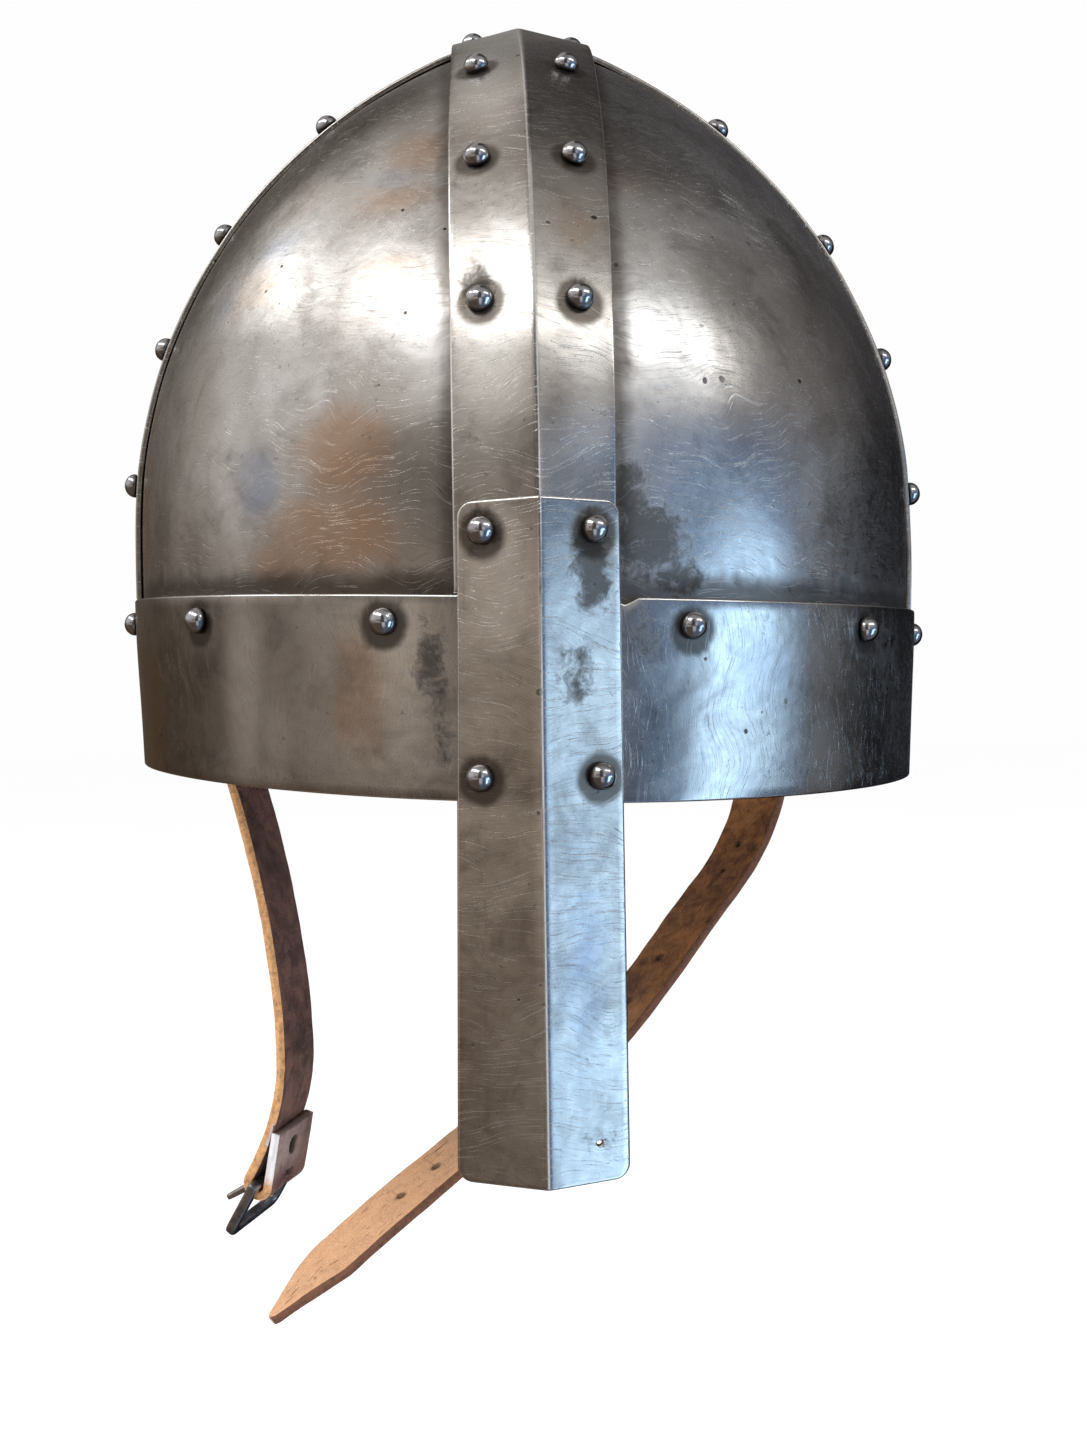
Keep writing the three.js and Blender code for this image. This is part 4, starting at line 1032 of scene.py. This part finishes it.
def rivet_piece(name, seat, axis, number):
    rng = np.random.default_rng(100 + number)
    turns = np.linspace(0, math.pi / 2, 12)
    profile = [(RIVET_RADIUS - 0.35, 0.0), (RIVET_RADIUS - 0.05, 0.12)]
    profile += [(RIVET_RADIUS * math.cos(a), 0.35 + (RIVET_HEIGHT - 0.35) * math.sin(a)) for a in turns[:-1]]
    sides = 36
    helper = unit(np.cross(axis, [0.3, 0.5, 0.8]))
    other = np.cross(axis, helper)
    angles = np.linspace(0, 2 * math.pi, sides, endpoint=False)
    uneven = waves(200 + number, 2.5, 7, 8)
    lean = rng.normal(size=2) * 0.02
    points = []
    for radius, height in profile:
        for a in angles:
            ring = helper * math.cos(a) + other * math.sin(a)
            tilt = height * (lean[0] * helper + lean[1] * other)
            points.append(seat + ring * radius + axis * height + tilt)
    points.append(seat + axis * RIVET_HEIGHT)
    points.append(seat.copy())
    points = np.array(points)
    centre = seat + axis * 0.6
    points += unit(points - centre) * (0.045 * uneven(points))[:, None]
    rows = len(profile)
    faces = []
    for r in range(rows - 1):
        for c in range(sides):
            n = (c + 1) % sides
            faces.append([r * sides + c, r * sides + n, (r + 1) * sides + n, (r + 1) * sides + c])
    for c in range(sides):
        n = (c + 1) % sides
        faces.append([(rows - 1) * sides + c, (rows - 1) * sides + n, rows * sides])
        faces.append([c, n, rows * sides + 1])

    # grime and painted shadow on the lowest part of the head, where it meets the plate
    def grime_and_painted_shadow(p):
        height = (p - seat) @ axis
        return 0.9 * fall(height, 0.25, 1.3)

    masks = {"grime_and_painted_shadow": grime_and_painted_shadow, "edge": lambda p: np.zeros(len(p))}
    add_mesh(name + "_head", points, faces, None, masks, rivet_steel, "helmet", [name])


cross_piece()
ridge_piece()
brow_piece()
nasal_piece()
for number, (name, (seat, axis)) in enumerate(sorted(rivets.items())):
    rivet_piece(name, seat, axis, number)


# Straps

def strap_path(plan):
    side = plan["side"]
    turn = side * math.radians(plan["azimuth"])
    head_height = brow_top(turn) - BROW_RIVET_DROP + STRAP_HEAD_ROOM
    inwards = -level_normal(dome_point(turn, head_height))
    across = np.array([-inwards[1], inwards[0], 0]) * -side
    speed = math.hypot(HALF_WIDTH * math.cos(turn), HALF_LENGTH * math.sin(turn))
    bow = (STRAP_WIDTH / 2) ** 2 / (2 * speed ** 3 / (HALF_WIDTH * HALF_LENGTH))
    offset = PLATE_THICKNESS + BAND_SEAT + FACET_SLACK + bow + STRAP_THICKNESS / 2
    start = dome_point(turn, STRAP_LEAVE) + inwards * offset
    up = np.array([0, 0, 1.0])

    def table(values, share):
        return np.interp(np.clip(share, 0, 1), np.linspace(0, 1, len(values)), values)

    def basis(share):
        lean = math.radians(table(plan["leans"], share))
        swing = math.radians(table(plan["swings"], share))
        plain = inwards * math.sin(lean) - up * math.cos(lean)
        face = inwards * math.cos(lean) + up * math.sin(lean)
        down = plain * math.cos(swing) + across * math.sin(swing)
        width = across * math.cos(swing) - plain * math.sin(swing)
        return down, width, face

    head = start + up * (head_height - STRAP_LEAVE)
    frames = [(head, *basis(0)), (start, *basis(0))]
    steps = round(plan["length"] / 7)
    point = start
    for k in range(1, steps + 1):
        point = point + basis((k - 0.5) / steps)[0] * plan["length"] / steps
        frames.append((point, *basis(k / steps)))
    return [np.array(part) for part in zip(*frames)]


def strap_rows(path, spacing=1.1):
    points, down, width, face = path
    run = run_lengths(points)
    along = np.linspace(0, run[-1], int(run[-1] / spacing))
    t = np.interp(along, run, np.arange(len(run)))
    wide = unit(spline(width, t))
    out = spline(face, t)
    out = unit(out - wide * (out * wide).sum(-1, keepdims=True))
    return spline(points, t), wide, out, along


def strap_mesh(rows, half_widths, seed):
    """A strap's section is a rounded rectangle, a little thinner and wavier than a ruler would draw it."""
    points, wide, out, along = rows
    half = STRAP_THICKNESS / 2
    radius = 0.55
    flat = np.linspace(-1, 1, 23)
    fan = np.linspace(0, math.pi / 2, 4)
    wave = waves(seed, 9, 40)
    section = []
    for share in flat:
        section.append((share, 1.0, 0.0, 0.0))
    for a in fan[1:]:
        section.append((1.0, math.cos(a), math.sin(a), 0.0))
    for a in fan:
        section.append((1.0, -math.sin(a), math.cos(a), 0.0))
    for share in flat[::-1][1:]:
        section.append((share, -1.0, 0.0, 0.0))
    for a in fan[1:]:
        section.append((-1.0, -math.cos(a), math.sin(a), 0.0))
    for a in fan[:-1]:
        section.append((-1.0, math.sin(a), math.cos(a), 0.0))
    section = np.array(section)
    grid = np.empty((len(points), len(section), 3))
    for k in range(len(points)):
        core = max(half_widths[k] - radius, 0.3)
        w = section[:, 0] * core + np.sign(section[:, 0]) * section[:, 2] * radius * (np.abs(section[:, 0]) >= 1)
        t = np.where(section[:, 2] > 0, np.sign(section[:, 1]) * (half - radius) + section[:, 1] * radius,
                     section[:, 1] * half)
        grid[k] = points[k] + wide[k] * w[:, None] + out[k] * t[:, None]
    flat_grid = grid.reshape(-1, 3)
    shift = (0.16 * wave(flat_grid)).reshape(grid.shape[:2])
    edge_shift = (0.22 * waves(seed + 1, 5, 16)(flat_grid)).reshape(grid.shape[:2])
    grid += out[:, None, :] * np.clip(shift, -0.12, 0.12)[..., None]
    grid += wide[:, None, :] * (np.clip(edge_shift, -0.2, 0.2) * np.abs(section[:, 0])[None, :] ** 4)[..., None]
    rows_count, columns = grid.shape[:2]
    faces = []
    for r in range(rows_count - 1):
        for c in range(columns):
            n = (c + 1) % columns
            faces.append([r * columns + c, r * columns + n, (r + 1) * columns + n, (r + 1) * columns + c])
    faces.append(list(range(columns)))
    faces.append([(rows_count - 1) * columns + c for c in range(columns)][::-1])
    return grid.reshape(-1, 3), faces


def strap_place(rows):
    """For points near a strap: their distance along it, across it and out of its face."""
    centres, wide, out, along = rows

    def value(p):
        best = np.empty(len(p), int)
        for start in range(0, len(p), 2000):
            part = p[start:start + 2000]
            gaps = ((part[:, None, :] - centres[None, :, :]) ** 2).sum(-1)
            best[start:start + 2000] = gaps.argmin(1)
        away = p - centres[best]
        ahead = np.gradient(centres, axis=0)
        ahead = unit(ahead)[best]
        return along[best] + (away * ahead).sum(-1), (away * wide[best]).sum(-1), (away * out[best]).sum(-1)

    return value


def dress_strap(piece, rows, half_widths, holes, masks):
    """Sets a cut strap's lengths and masks from where its points lie."""
    mesh = piece.data
    points = np.empty(len(mesh.vertices) * 3)
    mesh.vertices.foreach_get("co", points)
    points = points.reshape(-1, 3) / MM
    s, w, t = strap_place(rows)(points)
    half = np.interp(s, rows[3], half_widths)
    for centre, radius in holes:
        away = np.linalg.norm(points - centre, axis=1)
        sink = 0.35 * fall(away, radius, radius + 1.6) * np.sign(t)
        where = rows[2][np.clip(np.searchsorted(rows[3], s), 0, len(rows[3]) - 1)]
        points -= where * sink[:, None]
    mesh.vertices.foreach_set("co", (points * MM).ravel())
    loops = np.empty(len(mesh.loops), int)
    mesh.loops.foreach_get("vertex_index", loops)
    layer = mesh.uv_layers.get("along_across") or mesh.uv_layers.new(name="along_across")
    lift = np.where(t > 0, 0.0, 60.0)
    uv = np.stack([s, w + lift], -1)[loops] * MM
    layer.data.foreach_set("uv", uv.ravel())
    values = {"edge": smooth((np.abs(w) - half + 0.62) / 0.5),
              "worn": np.zeros(len(points))}
    for centre, radius in holes:
        away = np.linalg.norm(points - centre, axis=1)
        values["worn"] = np.maximum(values["worn"], fall(away, radius * 0.9, radius + 1.3))
    for key, mask in masks.items():
        values[key] = mask(s, w, t, points)
    for key, value in values.items():
        if key in mesh.attributes:
            mesh.attributes.remove(mesh.attributes[key])
        made = mesh.attributes.new(key, "FLOAT", "POINT")
        made.data.foreach_set("value", np.clip(value, 0, 1))
    mesh.polygons.foreach_set("use_smooth", [True] * len(mesh.polygons))
    mesh.update()


def along_strap(rows, distance_from_end):
    centres, wide, out, along = rows
    s = along[-1] - distance_from_end
    return (np.array([np.interp(s, along, centres[:, i]) for i in range(3)]),
            unit(np.array([np.interp(s, along, out[:, i]) for i in range(3)])))


def tail_piece():
    rows = strap_rows(strap_path(TAIL_STRAP))
    left = rows[3][-1] - rows[3]
    half = np.full(len(left), STRAP_WIDTH / 2)
    taper = TAIL_TIP / 2 + (STRAP_WIDTH / 2 - TAIL_TIP / 2) * left / TAIL_POINT
    half = np.minimum(half, taper) - 0.15 * fall(np.abs(left - TAIL_POINT), 0, 2.5)
    half = np.minimum(half, np.sqrt(np.clip(left, 0.02, None)) * 2.6 + 0.25)
    points, faces = strap_mesh(rows, half, 71)
    piece = add_mesh("strap_with_holes_leather", points, faces, None, {}, tan_leather, "helmet",
                     ["strap_with_holes"])
    holes, cutters = [], []
    for distances, width in ((STRAP_HOLES, STRAP_HOLE), (SMALL_HOLES, SMALL_HOLE)):
        for distance in distances:
            centre, out = along_strap(rows, distance)
            holes.append((centre, width / 2))
            cutters.append(cylinder(centre, out, width / 2, 3 * STRAP_THICKNESS, 20))
    cut(piece, cutters)
    total = rows[3][-1]
    dress_strap(piece, rows, half, holes, {
        # painted light: paler towards the tail's end, which hangs in the light
        "light": lambda s, w, t, p: smooth((s - 0.42 * total) / (0.3 * total)),
        # painted shade: darker near the helmet and along the face's edges
        "painted_shade": lambda s, w, t, p: 0.45 * fall(s, 45, 120) + 0.3 * fall(np.abs(np.abs(w) - 10), 0.2, 2.2),
    })


def buckle_strap_piece():
    path = strap_path(BUCKLE_STRAP)
    corner = math.hypot(BAR_WIDTH / 2, BUCKLE_THICKNESS / 2 - BEVEL)
    fold_radius = corner + GAP + STRAP_THICKNESS / 2
    end_point, end_down, end_width, end_face = (part[-1] for part in path)
    bar = end_point + end_face * fold_radius
    up = -end_down
    points, down, width, face = ([*part] for part in path)
    for k in range(1, 19):
        turn = math.radians(FOLD_TURN * k / 18)
        out = end_face * math.cos(turn) + up * math.sin(turn)
        points.append(bar - out * fold_radius)
        down.append(np.cross(end_width, out))
        width.append(end_width)
        face.append(out)
    flap_up = np.cross(end_width, face[-1])
    last = points[-1]
    for k in range(1, 5):
        points.append(last + flap_up * FOLD_LENGTH * k / 4)
        down.append(down[-1])
        width.append(end_width)
        face.append(face[-1])
    rows = strap_rows([np.array(part) for part in (points, down, width, face)], 0.9)
    half = np.full(len(rows[3]), STRAP_WIDTH / 2)
    grid, faces = strap_mesh(rows, half, 81)
    piece = add_mesh("strap_with_buckle_leather", grid, faces, None, {}, brown_leather, "helmet",
                     ["strap_with_buckle"])
    reach = fold_radius + STRAP_THICKNESS
    low = np.array([-SLOT_WIDTH / 2, -reach, -reach])
    high = np.array([SLOT_WIDTH / 2, SLOT_RISE, reach])
    box = np.array([[(low, high)[i][0], (low, high)[j][1], (low, high)[k][2]]
                    for i in (0, 1) for j in (0, 1) for k in (0, 1)])
    box = bar + box[:, :1] * end_width + box[:, 1:2] * up + box[:, 2:] * end_face
    box_faces = [[0, 1, 3, 2], [4, 6, 7, 5], [0, 4, 5, 1], [2, 3, 7, 6], [0, 2, 6, 4], [1, 5, 7, 3]]
    hole_width, hole_length, hole_rise = FOLD_HOLE
    centre = last + flap_up * hole_rise
    oblong = cylinder(centre, face[-1], hole_width / 2, STRAP_THICKNESS + 2 * GAP, 24,
                      (hole_length - hole_width) / 2, flap_up)
    cut(piece, [(box, box_faces), oblong])
    holes = [(centre + flap_up * d, hole_width / 2) for d in (-1.2, 0, 1.2)]
    fold_start = run_lengths(path[0])[-1]

    # painted light: a pale grey sheen on the flap's inner face, strongest towards one edge
    def light(s, w, t, p):
        flap = smooth((s - fold_start - 14) / 6)
        return flap * (0.25 + 0.75 * fall(w, -8, 9)) * (t < 0.2)

    dress_strap(piece, rows, half, holes, {
        "light": light,
        # painted shade: darker near the helmet and along the face's edges
        "painted_shade": lambda s, w, t, p: np.maximum(0.6 * fall(s, 45, 90), 0.35 * fall(np.abs(np.abs(w) - 9.6), 0.2, 1.6)),
        # painted highlight on the flap's lit cut edge
        "painted_edge_highlight": lambda s, w, t, p: smooth((s - fold_start - 12) / 5) * (w < 0),
    })
    return bar, end_width, up, end_face


def placed(points, bar, width, up, face):
    points = np.asarray(points, float)
    return bar + points[:, :1] * width + points[:, 1:2] * up + points[:, 2:] * face


def rounded_loop(corners, steps=9):
    """Points of a closed outline whose corners, given as (x, y, radius), are rounded."""
    count = len(corners)
    made = []
    for i in range(count):
        before = np.array(corners[i - 1][:2])
        here = np.array(corners[i][:2])
        after = np.array(corners[(i + 1) % count][:2])
        radius = corners[i][2]
        a, b = unit(before - here), unit(after - here)
        start, centre = here + a * radius, here + (a + b) * radius
        for k in range(steps + 1):
            turn = math.pi / 2 * k / steps
            made.append(centre - b * radius * math.cos(turn) - a * radius * math.sin(turn))
    return np.array(made)


def buckle_frame_piece(bar, width, up, face):
    inner_half = STRAP_WIDTH / 2 + SIDE_CLEARANCE
    outer_half = inner_half + SIDE_BAR
    top = BAR_WIDTH / 2
    end = -(top + LOOP)
    bottom = end - END_BAR
    outer = rounded_loop([(-outer_half, top, 0.7), (outer_half, top, 0.7), (outer_half, bottom, BUCKLE_CORNER),
                          (-outer_half, bottom, BUCKLE_CORNER)])
    inner = rounded_loop([(-inner_half, -top, 0.6), (inner_half, -top, 0.6), (inner_half, end, 1.2),
                          (-inner_half, end, 1.2)])
    outer = resample(outer, 220)
    inner = match_loop(outer, resample(inner, 900))
    half = BUCKLE_THICKNESS / 2
    sides = 20
    points = []
    for a, b in zip(outer, inner):
        middle = (a + b) / 2
        reach = (a - b) / 2
        for k in range(sides):
            turn = 2 * math.pi * k / sides
            c, s = math.cos(turn), math.sin(turn)
            square = 1 / (abs(c) ** 4.5 + abs(s) ** 4.5) ** (1 / 4.5)
            flat = middle + reach * c * square
            points.append((flat[0], flat[1], half * s * square))
    points = placed(points, bar, width, up, face)
    points += unit(points - bar) * (0.05 * waves(91, 3, 12)(points))[:, None]
    count = len(outer)
    faces = []
    for r in range(count):
        for c in range(sides):
            n, m = (c + 1) % sides, (r + 1) % count
            faces.append([r * sides + c, r * sides + n, m * sides + n, m * sides + c])

    def rim(p):
        local = p - bar
        lift = np.abs(local @ face)
        return 0.8 * smooth((lift - half * 0.75) / (half * 0.25)) * (0.5 + 0.5 * waves(93, 3, 9)(p))

    def dirt(p):
        return 0.35 + 0.45 * waves(92, 4, 15)(p)

    masks = {"grime_and_painted_shadow": dirt, "edge": rim}
    add_mesh("buckle_frame_loop", points, faces, None, masks, buckle_steel, "frame", ["buckle_frame"])


def resample(loop, count):
    closed = np.concatenate([loop, loop[:1]])
    run = run_lengths(closed)
    at = np.linspace(0, run[-1], count, endpoint=False)
    return np.stack([np.interp(at, run, closed[:, i]) for i in range(closed.shape[1])], -1)


def match_loop(outer, inner):
    """For each outer point, the inner point on its way to the loop's middle bars."""
    middle = (inner.min(0) + inner.max(0)) / 2
    size = (inner.max(0) - inner.min(0)) / 2
    span = (outer.max(0) - outer.min(0)) / 2
    centre = (outer.max(0) + outer.min(0)) / 2
    target = middle + (outer - centre) / span * size
    return np.array([inner[((inner - t) ** 2).sum(1).argmin()] for t in target])


def prong_piece(bar, width, up, face):
    """A flat bar with one end curled round the buckle's bar."""
    eye = math.hypot(BAR_WIDTH / 2, BUCKLE_THICKNESS / 2 - BEVEL) + GAP + PRONG_WALL / 2
    path, thick = [], []
    for k in range(29):
        turn = math.radians(-72 - 285 * (1 - k / 28))
        path.append((eye * math.cos(turn), eye * math.sin(turn)))
        thick.append(PRONG_WALL / 2)
    start = np.array(path[-1])
    tip = np.array([0, -PRONG_LENGTH])
    for k in range(1, 22):
        share = k / 21
        y = start[1] + (tip[1] - start[1]) * share
        x = start[0] * (1 - smooth(np.array(share * 2.2)))
        path.append((float(x), y))
        grow = PRONG_WALL / 2 + (PRONG_THICKNESS / 2 - PRONG_WALL / 2) * float(smooth(np.array(share * 3)))
        thick.append(grow * (1 - 0.3 * share))
    path = np.array(path)
    ahead = unit(np.gradient(path, axis=0))
    side = np.stack([-ahead[:, 1], ahead[:, 0]], -1)
    sides = 20
    points = []
    last = len(path) - 1
    open_turn = math.radians(PRONG_OPEN)
    rows = []
    for k, (p, n, h) in enumerate(zip(path, side, thick)):
        half = PRONG_WIDTH / 2 * (1 - 0.25 * float(smooth(np.array((k - 30) / (last - 30)))))
        rows.append((p, n, h, half))
    rows.append((path[-1] + ahead[-1] * 0.35, side[-1], thick[-1] * 0.55, rows[-1][3] * 0.6))
    for p, n, h, half in rows:
        for k in range(sides):
            turn = 2 * math.pi * k / sides
            c, s = math.cos(turn), math.sin(turn)
            square = 1 / (abs(c) ** 3.6 + abs(s) ** 3.6) ** (1 / 3.6)
            z, y = p + n * h * s * square
            x = half * c * square
            points.append((x, y, z))
    points = np.array(points)
    y, z = points[:, 1].copy(), points[:, 2].copy()
    points[:, 1] = y * math.cos(open_turn) - z * math.sin(open_turn)
    points[:, 2] = y * math.sin(open_turn) + z * math.cos(open_turn)
    points = placed(points, bar, width, up, face)
    count = len(rows)
    faces = []
    for r in range(count - 1):
        for c in range(sides):
            n = (c + 1) % sides
            faces.append([r * sides + c, r * sides + n, (r + 1) * sides + n, (r + 1) * sides + c])
    faces.append(list(range(sides)))
    faces.append([(count - 1) * sides + c for c in range(sides)][::-1])
    masks = {"grime_and_painted_shadow": lambda p: 0.3 + 0.4 * waves(95, 3, 9)(p), "edge": lambda p: 0.3 + 0.5 * waves(96, 3, 8)(p)}
    add_mesh("buckle_prong_bar", points, faces, None, masks, buckle_steel, "prong", ["buckle_prong"])


tail_piece()
buckle_axes = buckle_strap_piece()
buckle_frame_piece(*buckle_axes)
prong_piece(*buckle_axes)


# Floor, light and camera

def floor():
    size, height, steps = 9.0, -0.34, 25
    mesh = bpy.data.meshes.new("floor")
    at = [-size + 2 * size * i / (steps - 1) for i in range(steps)]
    faces = [[j * steps + i, j * steps + i + 1, (j + 1) * steps + i + 1, (j + 1) * steps + i]
             for j in range(steps - 1) for i in range(steps - 1)]
    mesh.from_pydata([(x, y, height) for y in at for x in at], [], faces)
    material, g, shader, place, _ = new_material("pale_floor")
    colour = g.layered(rgb(0.985, 0.985, 0.985), (rgb(1.0, 1.0, 1.0), g.noise(place, 3, 3)))
    g.fill(shader, Base_Color=colour, Roughness=0.9, Specular_IOR_Level=0.0)
    mesh.materials.append(material)
    piece = bpy.data.objects.new("floor", mesh)
    bpy.context.scene.collection.objects.link(piece)
    piece.visible_glossy = False


LIGHT_DISTANCE = 1.5
LIGHT_AIM = (0, 0, 0.06)


def area_light(name, azimuth, elevation, size, power, colour, roll=0.0):
    light = bpy.data.lights.new(name, "AREA")
    light.shape = "RECTANGLE"
    light.size, light.size_y = size
    light.energy = power
    light.color = colour
    lamp = bpy.data.objects.new(name, light)
    a, e = math.radians(azimuth), math.radians(elevation)
    away = Vector((math.sin(a) * math.cos(e), -math.cos(a) * math.cos(e), math.sin(e)))
    lamp.location = Vector(LIGHT_AIM) + away * LIGHT_DISTANCE
    turn = away.to_track_quat("Z", "Y").to_matrix() @ Matrix.Rotation(math.radians(roll), 3, "Z")
    lamp.rotation_euler = turn.to_euler()
    bpy.context.scene.collection.objects.link(lamp)
    return lamp


def room(g):
    """What the metal mirrors: a warm pale wall on the left, a dark one on the right, and a low blue window.

    Directions are in degrees: azimuths from the front towards the right, elevations upwards.
    """
    parts = g.add("SeparateXYZ", Vector=g.get("TexCoord", "Generated")).outputs
    x, y, z = (Signal(g, part) for part in parts)
    degree = 180 / math.pi
    azimuth = g.math("ARCTAN2", x, y * -1.0) * degree
    elevation = g.math("ARCSINE", z) * degree

    def patch(sides, heights):
        return ((azimuth.step(sides[0], sides[1]) * azimuth.step(sides[3], sides[2]))
                * (elevation.step(heights[0], heights[1]) * elevation.step(heights[3], heights[2])))

    left = g.layered(
        rgb(0.18, 0.125, 0.09),
        (rgb(0.80, 0.76, 0.72), elevation.step(-20, 27)),
        (rgb(0.50, 0.47, 0.45), elevation.step(54, 72)),
        (rgb(0.085, 0.068, 0.056), azimuth.step(-112, -160) * elevation.step(66, 40)),
        (rgb(0.10, 0.072, 0.05), azimuth.step(-88, -122) * elevation.step(14, -4)),
        (rgb(0.85, 0.72, 0.61), patch((-64, -52, -28, -12), (-8, -2, 2, 7)) * 0.8),
        (rgb(0.15, 0.115, 0.09), azimuth.step(-80, -55) * elevation.step(-6, -15)),
        (rgb(0.95, 0.93, 0.92), patch((-128, -104, -84, -62), (2, 18, 30, 44)) * 0.8),
        (rgb(0.22, 0.20, 0.18), patch((-62, -42, -20, -8), (-3, 6, 16, 26)) * 0.75),
    )
    right = g.layered(
        rgb(0.15, 0.18, 0.25),
        (rgb(0.66, 0.66, 0.66), elevation.step(-6, 32)),
        (rgb(0.50, 0.48, 0.45), elevation.step(50, 70)),
        (rgb(0.38, 0.37, 0.37), azimuth.step(60, 100)),
        (rgb(0.075, 0.072, 0.075), azimuth.step(84, 142)),
        (rgb(0.012, 0.012, 0.014), azimuth.step(84, 118) * elevation.step(24, 4)),
        (rgb(1.1, 1.1, 1.12), patch((2, 12, 24, 34), (0, 8, 18, 26)) * 0.8),
        (rgb(0.05, 0.055, 0.065), patch((24, 31, 38, 46), (-40, -25, -8, 0)) * 0.7),
        (rgb(0.15, 0.27, 0.52), patch((24, 42, 78, 96), (-50, -30, 10, 28)) * 0.8),
        (rgb(2.2, 3.3, 4.5), patch((46, 54, 62, 70), (-46, -28, -5, 1)) | patch((54, 63, 73, 84), (-9, -5, 0, 5))),
    )
    return g.layered(
        left,
        (right, x.step(-0.22, 0.14)),
        (rgb(0.06, 0.047, 0.04), patch((-26, -14, 7, 15), (-10, -2, 44, 58)) * 0.9),
        (rgb(0.95, 0.96, 1.0), patch((-14, -5, 10, 22), (-60, -30, -6, 2)) * 0.8),
    )


def studio():
    world = bpy.data.worlds.new("studio")
    bpy.context.scene.world = world
    world.use_nodes = True
    world.cycles.sampling_method = "NONE"
    g = Graph(world.node_tree)
    mirrored = g.get("LightPath", "Is Glossy Ray")
    tone = g.layered(rgb(0.99, 0.99, 0.99), (room(g), mirrored))
    g.add("OutputWorld", Surface=g.get("Background", Color=tone, Strength=1.0))
    daylight = (0.94, 0.97, 1.0)
    area_light("left_window", -104, 41, (0.66, 0.26), 1.9, daylight, 10)
    area_light("left_window_high", -50, 51, (1.10, 0.40), 6.2, daylight)
    area_light("right_window", 53, 39, (1.02, 0.26), 3.3, (0.95, 0.98, 1.0), -22)
    key = area_light("soft_key", -35, 42, (1.2, 1.2), 10.0, (1.0, 1.0, 1.0))
    key.visible_glossy = False


def camera():
    """The photograph's camera, fitted to the outline. Lengths in millimetres, focal length in photo pixels."""
    distance, height, focal, photo_width, sensor = 560.0, 29.1, 2027.6, 1087, 36
    azimuth, pitch, yaw, roll = (math.radians(v) for v in (1.49, 1.515, 0.47, -0.84))
    place = Vector((-distance * math.sin(azimuth), -distance * math.cos(azimuth), height)) * MM
    heading = azimuth + yaw
    forward = Vector((math.sin(heading) * math.cos(pitch), math.cos(heading) * math.cos(pitch), -math.sin(pitch)))
    right = Vector((math.cos(heading), -math.sin(heading), 0))
    up = right.cross(forward)
    right, up = (right * math.cos(roll) + up * math.sin(roll), up * math.cos(roll) - right * math.sin(roll))
    lens = bpy.data.cameras.new("camera")
    lens.sensor_fit = "HORIZONTAL"
    lens.sensor_width = sensor
    lens.lens = focal * sensor / photo_width
    lens.clip_start, lens.clip_end = 0.01, 50
    seer = bpy.data.objects.new("camera", lens)
    seer.matrix_world = Matrix.Translation(place) @ Matrix((right, up, -forward)).transposed().to_4x4()
    bpy.context.scene.collection.objects.link(seer)
    bpy.context.scene.camera = seer


floor()
studio()
camera()
bpy.context.scene.view_settings.view_transform = "Standard"

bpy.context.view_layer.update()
